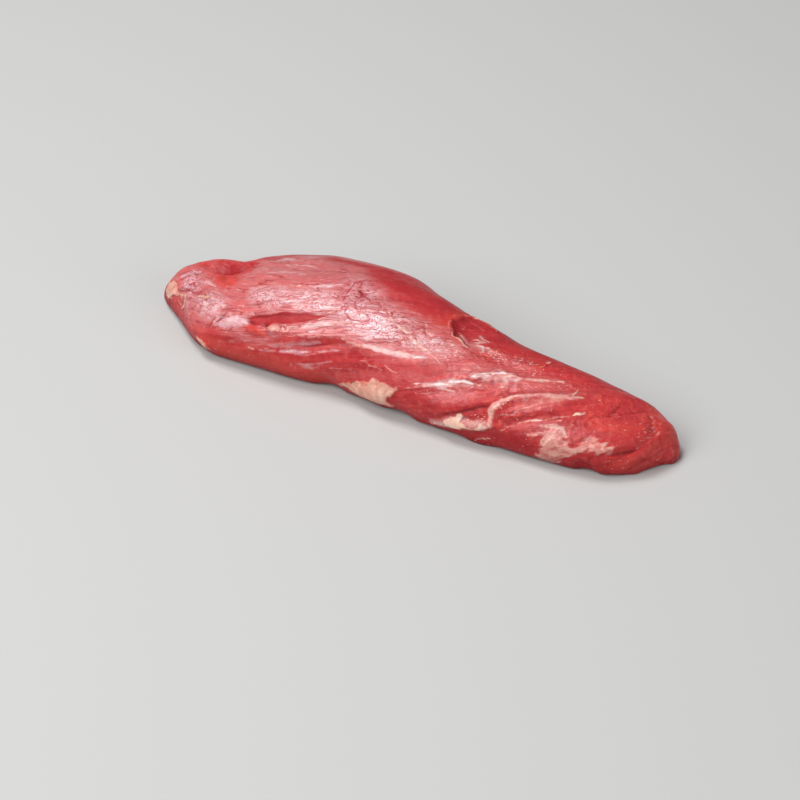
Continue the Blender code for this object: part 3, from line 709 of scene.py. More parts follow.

# %% [markdown]
# ## Painted gleams and glints
# Wet film stretched over a ridge is paler, and it shines nearly white in streaks along the fibres; the
# sharpest ridges glint. These highlights are painted. A gleam could be left to the lamps alone, but then it
# would only show from one side, so the whitened film is painted in, and the wet coat adds the light.

# %% Painted gleams: strength, half width in mm and places
PAINTED_GLEAMS = [
    (0.80, 1.7, [
        (22.5, 27.2), (26.5, 28.3), (29.5, 29.3), (32, 31.2), (35.8, 32.5), (39.5, 32.8), (43.3, 33.8),
    ]),
    (0.6, 0.6, [(29.8, 28.2), (33.2, 28), (37, 28.2)]),
    (1.0, 1.1, [(41.8, 37), (44, 38.3), (47.2, 39.5)]),
    (1.0, 2.5, [(47, 38.5), (50.3, 40.7), (54, 41.8), (57, 41.7), (61, 42)]),
    (0.6, 0.8, [(64.5, 43.7), (68.8, 45.5), (73.3, 46.8)]),
    (0.8, 0.9, [(84.2, 23.3), (87, 23.6), (89.5, 24), (92.8, 20.8)]),
    (0.7, 0.8, [(83.7, 15.3), (85.5, 18.5), (87.3, 21)]),
    (0.8, 1.5, [(-58, 44.2), (-51, 47.3), (-42.7, 49.5), (-35.3, 49.7)]),
    (0.7, 1.3, [(-43, 35.8), (-37.3, 38.2), (-32.8, 40.5), (-26, 41.5)]),
    (0.8, 1.6, [(-30, 47), (-22, 49), (-12, 48.5), (-2, 50)]),
    (0.8, 1.8, [(-20, 40.5), (-11, 40.5), (-3, 43), (5, 46)]),
    (0.9, 1.2, [(-12, 35.3), (-2.8, 36.4), (4.3, 37.2), (11.5, 38.5), (18, 39.5)]),
    (0.5, 0.9, [(-3.7, 52.2), (1.8, 48.8), (6.7, 46.5), (12.5, 46)]),
    (0.6, 2.8, [(-87, 24), (-82, 26.5), (-77, 28.5), (-72, 29.5)]),
    (0.7, 1.6, [(-92, 24), (-90, 29), (-86, 33)]),
    (0.7, 1.2, [(-122, 24), (-118, 30), (-113, 36)]),
    (0.6, 1.0, [(-50, 57), (-42, 60), (-36, 63)]),
    (0.5, 0.8, [(-117, 27), (-112, 30), (-108, 34)]),
    (0.6, 0.7, [(31.5, 57), (34.5, 57.5), (37.7, 59)]),
    (0.7, 0.8, [(35, 55), (38, 55.5), (40, 53)]),
    (0.45, 0.5, [(-62.5, 18.6), (-57.5, 20.2), (-53.5, 21.0)]),
    (0.60, 0.8, [(-51.5, 21.8), (-46.5, 23.2), (-41.0, 24.2), (-37.5, 25.2)]),
    (0.40, 0.5, [(-44.5, 22.4), (-39.5, 23.0), (-34.0, 25.0)]),
    (0.50, 0.6, [(-34.5, 26.2), (-30.7, 27.2), (-24, 29.7)]),
    (0.42, 0.5, [(-46.2, 16.3), (-38.8, 18.0), (-32, 20.4), (-25.8, 23.2)]),
    (0.36, 0.5, [(-44.5, 14.8), (-37.2, 16.2), (-32.5, 18.6)]),
    (0.34, 1.3, [(-58, 22.5), (-50, 25), (-42, 28), (-34, 31)]),
    (0.55, 1.0, [(56.0, 21.0), (56.3, 25.3), (59.0, 29.5), (64.3, 32.7)]),
    (0.45, 0.9, [(64.3, 32.7), (75.8, 37.5), (83.7, 39.0), (91.3, 42.3)]),
    (0.50, 0.9, [(-119, 22), (-113, 26), (-109, 31)]),
    (0.45, 0.8, [(-104, 22), (-100, 27), (-97, 33)]),
    (0.45, 0.9, [(-108, 34), (-103, 37), (-98, 38)]),
    (0.40, 1.0, [(-76, 58), (-66, 62), (-56, 64)]),
    (0.40, 0.8, [(-70, 70), (-62, 72), (-54, 72)]),
    (0.45, 1.6, [(-78, 71), (-75, 75), (-70, 75)]),
    (0.45, 0.35, [(119.9, 40.2), (120.8, 37.4)]),
    (0.45, 0.35, [(122.4, 35.4), (122.9, 33.0)]),
    (0.45, 0.35, [(123.0, 30.6), (124.2, 28.6)]),
    (0.50, 0.35, [(125.0, 26.8), (125.1, 24.2)]),
    (0.45, 0.35, [(123.8, 22.6), (125.3, 20.8)]),
    (0.40, 0.35, [(126.2, 23.6), (126.6, 21.4)]),
    (0.60, 2.4, [(27.5, 9), (33, 10.5), (40, 14.4), (47, 15.2), (57, 17.7)]),
    (0.90, 0.9, [(25.5, 60), (27.5, 58), (30.5, 56)]),
    (0.70, 0.5, [(33, 62.5), (36, 61), (39.5, 59.5)]),
    (0.60, 1.0, [(40, 56), (43, 54.5), (47, 54)]),
]
painted_gleam = streak_mask(PAINTED_GLEAMS, 204) * (1.0 - fat) * (1.0 - groove_shade)
print(f"gleams: {100.0 * painted_gleam.mean():.1f} % of the grid")

# %% Painted glints: strength, half width in mm and places
PAINTED_GLINTS = [
    (0.8, 0.5, [(25.7, 28.0), (29.5, 29.7), (32.7, 30.7)]),
    (0.9, 0.6, [(33.0, 31.8), (36.8, 33.3), (41.8, 34.0), (43.8, 34.3)]),
    (0.9, 0.5, [(42.5, 37.3), (45.5, 39.2), (48.8, 39.3)]),
    (0.8, 0.5, [(49.5, 40.8), (53.2, 43.0), (55.5, 43.2)]),
    (0.5, 0.4, [(41.3, 31.0), (44.7, 33.3), (48.8, 33.8)]),
    (0.7, 0.5, [(76.5, 48.3), (80.3, 50.2)]),
    (0.5, 0.5, [(35.5, 12.0), (38.8, 16.3), (40.7, 17.3)]),
    (0.5, 0.4, [(57.0, 25.8), (58.5, 27.8), (60.0, 29.2), (62.2, 30.2)]),
    (0.4, 0.4, [(70.0, 35.5), (75.7, 38.3)]),
    (0.6, 0.4, [(76.0, 24.5), (80.2, 26.0)]),
    (0.5, 0.5, [(82.0, 16.7), (84.7, 20.2), (87.7, 22.0)]),
    (0.5, 0.5, [(33.2, 57.3), (37.0, 58.5)]),
    (0.4, 0.4, [(-62.8, 20.0), (-58.8, 20.7)]),
    (0.4, 0.4, [(-56.0, 19.6), (-52.3, 21.0)]),
    (0.5, 0.4, [(-48.0, 22.7), (-41.0, 24.2), (-35.8, 25.9)]),
    (0.5, 0.4, [(-46.0, 34.2), (-39.7, 37.0), (-32.7, 40.3)]),
    (0.5, 0.4, [(-43.0, 33.2), (-36.5, 35.4), (-30.0, 38.0)]),
    (0.4, 0.4, [(-53.2, 27.2), (-47.3, 29.2)]),
    (0.5, 0.5, [(-87.3, 26.2), (-82.8, 29.0), (-79.2, 28.2)]),
    (0.6, 0.4, [(16.0, 26.0), (22.7, 28.2), (27.3, 29.7)]),
]
glint = streak_mask(PAINTED_GLINTS, 206)
print(f"glints: {100.0 * glint.mean():.1f} % of the grid")

# %% [markdown]
# ## Small vessels
# A net of fine blood vessels lies under the film on the shoulder. The larger ones are drawn one by one, and
# noise makes the faint net between them.

# %% Vessels: half width in mm, darkness and places
VESSELS = [
    (0.50, 0.9, [
        (-28.3, 50.2), (-31, 53.7), (-31.7, 58.3), (-31.8, 63.8), (-30.8, 69), (-28.2, 70.7),
        (-23.2, 71.8),
    ]),
    (0.65, 1.0, [(-29.5, 68.2), (-27.3, 63.2), (-24.5, 60.3), (-25.5, 57.2)]),
    (0.50, 0.9, [(-29.3, 55.7), (-26, 54.5), (-22, 50.3), (-19, 48.2)]),
    (0.50, 0.8, [(-11, 57.3), (-7.7, 52.8), (-6.8, 49.5)]),
    (0.45, 0.8, [(-27.3, 71), (-22.7, 67.3), (-18.5, 66.3)]),
    (0.50, 0.9, [(-24, 64.8), (-23.2, 59.7), (-18, 56.8), (-13, 57)]),
    (0.55, 1.0, [(-27.5, 49), (-26.8, 47.3), (-22.8, 44.7), (-17.7, 45.5), (-14.2, 47.7), (-17, 50)]),
    (0.45, 0.8, [(-30.2, 59), (-26.8, 58), (-24, 58.5)]),
    (0.45, 0.8, [(-33, 60), (-35.5, 57), (-34, 53.5), (-30, 52)]),
    (0.45, 0.8, [(-20, 63), (-17.5, 60.5), (-15, 61.5), (-12, 59)]),
    (0.45, 0.7, [(-31, 47), (-29, 49.5), (-31.5, 51)]),
    (0.45, 0.7, [(-36, 68), (-34, 63.5), (-36, 60)]),
    (0.45, 0.7, [(-44, 41), (-34, 43.5), (-25, 44.5)]),
    (0.45, 0.7, [(-42, 37.5), (-31.8, 39.2), (-22, 41.5), (-12, 43)]),
]
# centre, half length, half width and slope of the places with a net of veins
VEIN_PATCHES = [((-26, 60), 13, 16, 0.60), ((-4, 50), 22, 13, -0.10), ((-112, 28), 12, 12, 1.00)]
vessel = streak_mask([(darkness, width, places) for width, darkness, places in VESSELS], 205)
vein_place = film * patches_mask(VEIN_PATCHES)
# pale film and painted sheen: the thick film, the gleams and the veined patches, painted nearly white
pale_film_and_painted_sheen = np.maximum(np.maximum(0.75 * crackled_film, painted_gleam), 0.45 * vein_place)
print(f"vessels: {100.0 * vessel.mean():.1f} % of the grid, bright film: {100.0 * pale_film_and_painted_sheen.mean():.1f} %")

# %% [markdown]
# ## Flecks, painted shade and painted glow
# Torn film leaves pale flecks, and some of them are painted glints. Some patches are painted a deeper red:
# that is painted shade, low on the near side and in the valley by the head's lobe. Thin edges and small
# swellings, where light comes through the flesh, and the tail's end are painted a brighter orange red: a
# painted glow.

# %% Flecks and painted glints: centre, half length, half width, slope and strength
FLECK_AND_GLINT_PLACES = [
    ((30, 9), 6, 5, 0.0, 1.0),
    ((50, 18.5), 9, 3.5, 0.3, 1.0),
    ((59, 28), 6, 5, 0.8, 1.0),
    ((45, 53), 14, 6, -0.2, 0.9),
    ((80, 47), 20, 6, 0.1, 0.6),
    ((60, 54), 16, 8, -0.1, 0.8),
    ((108, 36), 8, 6, 0.3, 0.7),
    ((112, 30), 16, 18, 0.0, 0.5),
    ((123, 26), 3.5, 13, 0.0, 0.85),
    ((118, 10), 8, 5, 0.0, 0.8),
    ((88, 24), 12, 6, 0.1, 0.9),
    ((112, 54), 14, 8, -0.4, 0.5),
]
SCATTERED_FLECKS_AND_GLINTS = 0.25  # their strength elsewhere on the right half
rightward = smoothstep(-0.020, 0.050, x) * (1.0 - far_side)
fleck_and_glint_mask = strongest(SCATTERED_FLECKS_AND_GLINTS * rightward, FLECK_AND_GLINT_PLACES)
print(f"flecked: {100.0 * fleck_and_glint_mask.mean():.1f} % of the grid")

# %% Patches of painted shade: centre, half length, half width, slope and strength
PAINTED_SHADE_PATCHES = [
    ((66, 11), 20, 8, 0.10, 1.00),
    ((46, 21), 12, 4, 0.25, 0.60),
    ((93, 27), 10, 4, 0.20, 0.50),
    ((-66, 11), 24, 6, 0.10, 0.45),
    ((-24, 9), 16, 5, 0.20, 0.50),
    ((-97, 53), 10, 3.0, 0.85, 0.80),
    ((-104, 54), 16, 3.5, 0.90, 0.40),
]
painted_shade_patch = strongest(np.zeros(x.shape), PAINTED_SHADE_PATCHES)
print(f"painted shade patches: {100.0 * painted_shade_patch.mean():.1f} % of the grid")

# %% Painted glow on thin edges, swellings, the near left and the tail's end: half width in mm, strength and places
PAINTED_GLOW = [
    (3.0, 0.45, [(-120, 36), (-112, 46), (-104, 55), (-97, 60)]),
    (1.8, 0.9, [(-70.5, 27.7), (-66.3, 27.2), (-61.7, 27.7)]),
    (1.5, 0.8, [(-53, 30), (-51.5, 31)]),
    (4.5, 0.36, [(-106, 39), (-101, 43.5), (-97.5, 45.5)]),
    (4.5, 0.42, [(-97.5, 44.0), (-93, 45.0), (-90.5, 47.0)]),
    (2.2, 0.5, [(-99, 15.5), (-96, 15.5)]),
    (2.4, 0.4, [(-31, 31), (-26, 32)]),
    (9.0, 0.45, [(-88, 10), (-60, 11), (-36, 12)]),
    (3.5, 0.35, [(14.5, 60.7), (16.7, 64), (17, 70)]),
    (1.2, 0.6, [(20.5, 74.5), (18.4, 70.2), (17.2, 66.3), (18.6, 61.8)]),
    (3.0, 0.4, [(68, 29), (76, 33), (83, 36.5)]),
    (5.0, 0.28, [(116, 10), (122, 9), (127, 11), (130, 16), (131, 24), (128, 34), (122, 43)]),
    (3.0, 0.4, [(102, 30), (110, 28), (118, 28)]),
]
glow = np.zeros(x.shape)
for half_width, strength, places in PAINTED_GLOW:
    nearest, _ = near_line(warp_x, warp_g, np.array(places) * MM)
    glow = np.maximum(glow, strength * (1.0 - smoothstep(0.2, 1.4, nearest / (half_width * MM))))
print(f"glow: {100.0 * glow.mean():.1f} % of the grid")

# %% [markdown]
# ## Fine relief
# On top of the main forms come the details of flesh: strands of muscle, the crinkled film with its net of
# veins, lumps in the fat, the thickness of the skin's edges and the cuts. Each has its own real size. A bump
# in the material could fake them, but real relief also shows in the outline and casts small shadows.

# %% Strands, creases and crinkles
STRAND_HEIGHT, STRAND_LENGTH, STRAND_WIDTH = 0.00027, 0.032, 0.0044
CREASE_DEPTH, CREASE_LENGTH, CREASE_WIDTH = 0.00010, 0.028, 0.0044
CRINKLE_HEIGHT, CRINKLE_LENGTH, CRINKLE_WIDTH = 0.00019, 0.0085, 0.0034
LINE_DEPTH = 0.4  # how deep the lines between crinkles or wrinkles are, as a share of their height


def crease_lines(noise, sharpness):
    """1 along the lines where a noise crosses zero, falling to 0 where it is this far from zero."""
    return 1.0 - smoothstep(0.0, sharpness, np.abs(noise))


strands = layered_noise(x / STRAND_LENGTH, fibre / STRAND_WIDTH, 301)
creases = crease_lines(layered_noise(x / CREASE_LENGTH, fibre / CREASE_WIDTH, 302, layers=2), sharpness=0.11)
crinkle = layered_noise(x / CRINKLE_LENGTH, fibre / CRINKLE_WIDTH, 303)
crinkle_lines = crease_lines(crinkle, sharpness=0.16)
crinkling = crinkle - LINE_DEPTH * crinkle_lines
print("strands in mm, their height and width:", np.round([STRAND_HEIGHT * 1000.0, STRAND_WIDTH * 1000.0], 2))

# %% The net of veins runs in the lines of the crinkles, with gaps
VEIN_GAP = 0.007

vein_gaps = smoothstep(-0.3, 0.4, layered_noise(x / VEIN_GAP, g / VEIN_GAP, 304))
vein = np.maximum(0.8 * (vein_place * crinkle_lines * vein_gaps), 0.78 * vessel)
print(f"veins: {100.0 * vein.mean():.1f} % of the grid")

# %% Wrinkles of the folded head, where the film is creased all ways
WRINKLE_HEIGHT, WRINKLE_SIZE = 0.00080, 0.0060
# centre, half length, half width and slope
WRINKLED = [((-112, 26), 16, 18, 0.80), ((-95, 28), 15, 13, 0.60), ((-99, 50), 10, 8, 0.80)]
wrinkles = layered_noise(x / WRINKLE_SIZE, g / WRINKLE_SIZE, 306)
wrinkle_lines = crease_lines(wrinkles, sharpness=0.20)
wrinkled = patches_mask(WRINKLED)
relief += WRINKLE_HEIGHT * wrinkled * (wrinkles - LINE_DEPTH * wrinkle_lines)
print(f"wrinkled: {100.0 * wrinkled.mean():.1f} % of the grid")

# %% Add the details to the main forms
FAT_LUMP_HEIGHT, FAT_LUMP_SIZE = 0.0009, 0.0048
FAT_THICKNESS, SKIN_THICKNESS, FILM_THICKNESS = 0.0005, 0.00018, 0.00018
VESSEL_DEPTH = 0.00025

fat_lumps = layered_noise(x / FAT_LUMP_SIZE, g / FAT_LUMP_SIZE, 305)
relief += cut_relief
relief += STRAND_HEIGHT * strands * (1.0 - 0.7 * far_side + 0.9 * behind)
relief -= CREASE_DEPTH * creases * (0.25 + 0.75 * film)
relief += CRINKLE_HEIGHT * film * (0.3 + 0.7 * crackled_film + vein_place) * crinkling
relief -= VESSEL_DEPTH * vessel
relief += FILM_THICKNESS * film * (1.0 - groove_shade)
relief += SKIN_THICKNESS * skin * (1.0 + 0.6 * strands)
relief += fat * (FAT_THICKNESS + FAT_LUMP_HEIGHT * fat_lumps)
print("all relief in mm, lowest and highest:", np.round([relief.min() * 1000.0, relief.max() * 1000.0], 2))

# %% [markdown]
# ## The mesh
# The relief lifts each point along the surface's normal. It fades out towards the ground, so the base stays
# flat, and towards both tips. The rings are joined by four-sided faces, and each end is closed by a fan.
# A UV map keeps the fibre coordinates, so that the fine grain of the material can follow the fibres.

# %% Lift the points
FULL_RELIEF_LEVEL, TIP_FADE = 0.6, 0.008  # share of the belly's level, and distance from a tip in metres

along = np.gradient(plain, axis=0)
round_the_ring = np.empty_like(plain)
round_the_ring[:, 1:-1] = plain[:, 2:] - plain[:, :-2]
round_the_ring[:, 0] = round_the_ring[:, -1] = plain[:, 1] - plain[:, -2]
normal = np.cross(along, round_the_ring)
normal /= np.maximum(np.linalg.norm(normal, axis=2, keepdims=True), 1e-12)
fade = smoothstep(0.0, FULL_RELIEF_LEVEL, plain[..., 2] / belly_level)
fade *= smoothstep(0.0, TIP_FADE, np.minimum(ring_x - HEAD_TIP, TAIL_TIP - ring_x))[:, None]
lifted = plain + normal * (fade * relief)[..., None]
lifted[..., 2] = np.maximum(lifted[..., 2], 0.0)

head = (HEAD_TIP, *lifted[0, :-1].mean(axis=0)[1:])
tail = (TAIL_TIP, *lifted[-1, :-1].mean(axis=0)[1:])
points = np.concatenate([lifted[:, :-1].reshape(-1, 3), [head, tail]])
points[:, :2] += 0.5 * (low + high)[:2] - 0.5 * (points.min(axis=0) + points.max(axis=0))[:2]
print("points:", len(points), "top in mm:", round(float(points[:, 2].max()) * 1000.0, 1))

# %% Join them into one closed mesh
rings, columns = x.shape[0], x.shape[1] - 1
ring_index, column_index = np.meshgrid(np.arange(rings - 1), np.arange(columns), indexing="ij")
here = ring_index * columns + column_index
beside = ring_index * columns + (column_index + 1) % columns
quads = np.stack([here, here + columns, beside + columns, beside], axis=-1).reshape(-1, 4)
turn = np.arange(columns)
next_turn = (turn + 1) % columns
last_ring = (rings - 1) * columns
head_fan = np.stack([np.full(columns, rings * columns), turn, next_turn], axis=-1)
tail_fan = np.stack([np.full(columns, rings * columns + 1), last_ring + next_turn, last_ring + turn], axis=-1)

mesh = bpy.data.meshes.new("meat")
mesh.from_pydata(points.tolist(), [], quads.tolist() + head_fan.tolist() + tail_fan.tolist())
meat = bpy.data.objects.new("meat", mesh)
bpy.context.scene.collection.objects.link(meat)
mesh.shade_smooth()
print("meat:", len(mesh.polygons), "faces,", sum(len(p.vertices) - 2 for p in mesh.polygons), "triangles")

# %% Map the fibre coordinates onto its faces
places = np.stack([x, fibre], axis=-1)
corners = [places[:-1, :-1], places[1:, :-1], places[1:, 1:], places[:-1, 1:]]
quad_places = np.stack(corners, axis=2).reshape(-1, 2)
fan_places = [
    np.stack([places[0, :-1], places[0, :-1], places[0, 1:]], axis=1).reshape(-1, 2),
    np.stack([places[-1, 1:], places[-1, 1:], places[-1, :-1]], axis=1).reshape(-1, 2),
]
grain_map = mesh.uv_layers.new(name="Grain")
grain_map.uv.foreach_set("vector", np.concatenate([quad_places, *fan_places]).ravel())
print("corners mapped:", len(grain_map.uv))

# %% [markdown]
# ## Masks kept on the mesh
# The material cannot see the arrays above, so each mask is kept on the mesh's points as an attribute. Two
# more come from the finished shape: painted shade low on the sides, and a painted shadow close to the ground.

# %% Painted shade low on the sides, on the far side, in the notch and in the darker patches
# painted shade low on the sides, fading out at the tail's end
shade = 1.0 - smoothstep(0.001, 0.013 + 0.008 * smoothstep(0.02, 0.06, x), lifted[..., 2])
shade *= 1.0 - 0.9 * smoothstep(0.110, 0.124, x)
# painted shade on the far side and in the notch's recess
shade = np.maximum(np.maximum(shade, 0.7 * far_side), recess**1.5)
shade = np.maximum(shade, painted_shade_patch)
# painted shadow close to the ground, reaching higher towards the head
ground_shadow = 1.0 - smoothstep(0.0008, 0.0090 - 0.0035 * smoothstep(-0.060, -0.030, x), lifted[..., 2])
print(f"shade: {100.0 * shade.mean():.1f} % of the grid, close to the ground: {100.0 * ground_shadow.mean():.1f} %")

# %% Keep them as attributes
MASKS = {
    "Fat": fat,
    "ThickFat": thick_fat,
    "Silverskin": skin,
    "Film": film,
    "BrightFilm": pale_film_and_painted_sheen,
    "Glint": glint,
    # painted shade in the grooves, and a painted shadow close to the ground
    "Deep": np.maximum(groove_shade, 0.75 * ground_shadow),
    "Glow": glow,
    # painted shade
    "Shade": shade,
    "Vein": vein,
    "Tear": tear,
    "Crease": wrinkled * wrinkle_lines * film,
    "Crackle": np.maximum(0.5 * crackled_film, vein_place),
    "Tailward": rightward,
    "Flecks": fleck_and_glint_mask,
}
for name, values in MASKS.items():
    attribute = mesh.attributes.new(name, "FLOAT", "POINT")
    on_the_rings = (values * (fade > 0.0))[:, :-1].ravel()
    attribute.data.foreach_set("value", np.append(on_the_rings, [0.0, 0.0]))
print("masks:", ", ".join(MASKS))

# %% [markdown]
# ## Raw muscle, wet
# Raw pork is red from the myoglobin in its fibres, and it is a little see-through, so light that enters it
# comes out again nearby, redder: that is subsurface scattering. Over it lies a coat of meat juice, as smooth
# as water. One colour with noise in it would look like clay, so the base colour is layered as the real thing
# is: muscle, film, silverskin, then fat. Painted shade, a painted glow and painted highlights are laid in
# among these layers.

# %% Colours
PALETTE = {
    "muscle": "#BA3B3D",
    # the muscle's darker tone, also used as painted shade
    "dark muscle": "#921F26",
    "pale muscle": "#CC655F",
    "vessel": "#A4122E",
    # colour of the painted shade in grooves and close to the ground
    "recess": "#640C12",
    # colour of the painted glow
    "glow": "#CC4E3E",
    "film": "#CC7B7B",
    # pale film and the colour of its painted sheen
    "bright film": "#E0D4D9",
    # colour of the painted glints
    "glint": "#F3E2E6",
    "silverskin": "#DEAC9E",
    "fat": "#CC9783",
    "pale fat": "#F0CFBC",
    "pink fat": "#C27264",
}


def linear_light(code):
    """An sRGB hex code as linear light: c / 12.92 where c is dark, ((c + 0.055) / 1.055)^2.4 elsewhere."""
    srgb = [int(code[i : i + 2], 16) / 255.0 for i in (1, 3, 5)]
    return (*(c / 12.92 if c <= 0.04045 else ((c + 0.055) / 1.055) ** 2.4 for c in srgb), 1.0)


print("muscle in linear light:", np.round(linear_light(PALETTE["muscle"])[:3], 3))

# %% The material, and one function that adds its nodes
# Raw pork muscle, wet: a red that glows from inside under sharp, cool highlights
material = bpy.data.materials.new("Raw pork muscle, wet")
material.use_nodes = True
tree = material.node_tree
tree.nodes.clear()

# What all nodes of a kind have in common here: their settings, and the output that is read. A Map Range turns
# a value's low and high ends into two others, 0 and 1 if none are named, with a smooth step between.
COMMON = {
    "Attribute": ({"attribute_type": "GEOMETRY"}, "Fac"),
    "MapRange": ({"interpolation_type": "SMOOTHSTEP"}, "Result"),
    "Mix": ({"data_type": "RGBA"}, 2),
    "TexCoord": ({}, "Object"),
}


def add(kind, inputs=(), **settings):
    """Adds a node with its settings and links, and gives the output that is read from it.

    The inputs are listed in the node's order, or by name or number. Each is a value, another node's output,
    or a sum written as (operation, first, second), which becomes a Math node of its own.
    """
    usual, output = COMMON.get(kind, ({}, 0))
    node = tree.nodes.new("ShaderNode" + kind)
    for name, value in {**usual, **settings}.items():
        setattr(node, name, value)
    pairs = inputs.items() if isinstance(inputs, dict) else enumerate(inputs)
    for socket, value in pairs:
        if isinstance(value, tuple) and isinstance(value[0], str):
            value = add("Math", value[1:], operation=value[0])
        if isinstance(value, bpy.types.NodeSocket):
            tree.links.new(value, node.inputs[socket])
        else:
            node.inputs[socket].default_value = value
    return node.outputs[output] if node.outputs else None


# %% [markdown]
# ## Patterns in real sizes
# Fibres are less than a millimetre wide and centimetres long, and the film, the fat and the torn flecks have
# sizes of their own. Each pattern is noise whose cells have such a real size, along and across the fibres.
# Blotches and granules have no direction, so they are the same all ways.

# %% Noise along the fibres and all ways
along_fibres = add("UVMap", uv_map="Grain")
all_ways = add("TexCoord")

# coordinates, size of a cell in mm, detail, roughness and distortion
PATTERNS = {
    "grain": (along_fibres, (9.0, 0.7), 3.0, 0.55, 0.0),
    "streaks": (along_fibres, (30.0, 3.4), 4.0, 0.60, 0.4),
    "shreds": (along_fibres, (3.0, 0.8), 3.0, 0.65, 0.6),
    "creases": (along_fibres, (23.0, 3.1), 2.0, 0.50, 0.5),
    "cracks": (along_fibres, (3.6, 2.0), 2.0, 0.50, 1.0),
    "ripples": (along_fibres, (4.0, 1.3), 3.0, 0.60, 0.5),
    "lumps": (along_fibres, (6.0, 3.5), 3.0, 0.60, 0.5),
    "flecks": (along_fibres, (1.3, 1.0), 2.0, 0.50, 0.5),
    "blotches": (all_ways, (13.0, 13.0, 13.0), 3.0, 0.55, 0.0),
    "mottle": (all_ways, (2.8, 2.8, 2.8), 3.0, 0.55, 0.0),
    "granules": (all_ways, (3.0, 3.0, 3.0), 3.0, 0.60, 0.4),
}
noise = {}
for name, (coordinates, size, detail, roughness, distortion) in PATTERNS.items():
    scale = [1.0 / (length * MM) for length in size] + [1.0]  # a UV map needs no third scale
    sized = add("Mapping", {"Vector": coordinates, "Scale": scale[:3]})
    character = {"Detail": detail, "Roughness": roughness, "Distortion": distortion}
    noise[name] = add("TexNoise", {"Vector": sized, "Scale": 1.0, **character})
print("patterns:", ", ".join(noise))

# %% Masks, with edges cut up by the patterns
mask = {name: add("Attribute", attribute_name=name) for name in MASKS}

# mask, pattern, how far the pattern shifts the edge, and where the mask then starts and is full
RAGGED = {
    "fat": ("Fat", "granules", 1.0, 0.18, 0.85),
    "thick fat": ("ThickFat", "granules", 1.2, 0.35, 0.85),
    "silverskin": ("Silverskin", "granules", 1.0, 0.20, 0.75),
    "film": ("Film", "streaks", 0.6, 0.10, 0.95),
    "vein": ("Vein", "shreds", 0.9, 0.20, 0.70),
    "glint": ("Glint", "granules", 1.5, 0.30, 0.95),
}
amount = {}
for name, (place, pattern, spread, start, full) in RAGGED.items():
    shifted = ("ADD", mask[place], ("MULTIPLY", ("SUBTRACT", noise[pattern], 0.5), spread))
    amount[name] = add("MapRange", [shifted, start, full])
print("ragged masks:", ", ".join(amount))

# %% Lines and flecks
# A line runs where a noise crosses its middle. This is 0 on the line and 1 beyond its half width.
LINE_WIDTHS = {"creases": 0.035, "cracks": 0.055}
between = {}
for name, half_width in LINE_WIDTHS.items():
    off_the_line = ("ABSOLUTE", ("SUBTRACT", noise[name], 0.5))
    between[name] = add("MapRange", [off_the_line, 0.0, half_width])

# Flecks of torn film, some of them painted glints, are the peaks of a fine noise, in the places where their
# mask lifts it by this much
FLECK_LIFT = 0.155
flecks = add("MapRange", [("ADD", noise["flecks"], ("MULTIPLY", mask["Flecks"], FLECK_LIFT)), 0.72, 0.80])
# Film that is pale and painted with sheen is also calmer, with weaker lines and bumps
calm = add("MapRange", [mask["BrightFilm"], 0.2, 0.8, 1.0, 0.40])
print("nodes so far:", len(tree.nodes))

# %% [markdown]
# ## Base colour, laid down layer by layer
# Each layer is a colour from the palette, an amount from 0 to 1 over the surface, and how much of the layer
# shows where the amount is full. The order is that of the meat, from the inside out.

# %% The muscle: dark and light bundles, mottled, with painted shade on the sides and in the tears, and a painted glow


def lay(below, layers):
    """Colours laid over another, one after the other: each is mixed in by its amount times its share."""
    for top, amount, share in layers:
        top = linear_light(PALETTE[top]) if isinstance(top, str) else top
        below = add("Mix", {0: ("MULTIPLY", amount, share), 6: below, 7: top})
    return below


# painted glow in mottled patches towards the tail
tailward_painted_glow = ("MULTIPLY", add("MapRange", [noise["mottle"], 0.48, 0.66]), mask["Tailward"])
muscle = lay(
    linear_light(PALETTE["dark muscle"]),
    [
        ("muscle", add("MapRange", [noise["streaks"], 0.32, 0.58, 0.35, 1.0]), 1.0),
        ("pale muscle", add("MapRange", [noise["grain"], 0.50, 0.75]), 0.12),
        ("pale muscle", add("MapRange", [noise["mottle"], 0.50, 0.72]), 0.42),
        ("dark muscle", add("MapRange", [noise["mottle"], 0.48, 0.28]), 0.35),
        ("glow", tailward_painted_glow, 0.38),
        # painted shade low on the sides, on the far side, in the notch and in the darker patches
        ("dark muscle", mask["Shade"], 0.80),
        ("dark muscle", add("MapRange", [noise["blotches"], 0.45, 0.75]), 0.35),
        # painted glow on thin edges, swellings, the near left and the tail's end
        ("glow", mask["Glow"], 0.75),
        # painted shade in the tears
        ("dark muscle", mask["Tear"], 0.45),
    ],
)
print("nodes with the muscle:", len(tree.nodes))

# %% The film, cracked and creased, with what shows through it
off_creases = add("MapRange", [between["creases"], 0.0, 1.0, 0.45, 1.0])
off_wrinkles = add("MapRange", [mask["Crease"], 0.0, 1.0, 1.0, 0.45])
film_amount = ("MULTIPLY", ("MULTIPLY", amount["film"], off_creases), off_wrinkles)

on_cracks = ("SUBTRACT", 1.0, between["cracks"])
cracked = ("MULTIPLY", on_cracks, add("MapRange", [mask["Crackle"], 0.05, 0.30]))
# painted sheen on the pale film, broken into patches
sheen_cut = add("MapRange", [("ADD", noise["lumps"], ("MULTIPLY", noise["shreds"], 0.3)), 0.32, 0.80])
sheen_amount = ("MULTIPLY", ("MULTIPLY", mask["BrightFilm"], sheen_cut), ("SUBTRACT", 1.0, cracked))
sheen_colour = lay(linear_light(PALETTE["bright film"]), [("pale fat", mask["Tailward"], 0.5)])

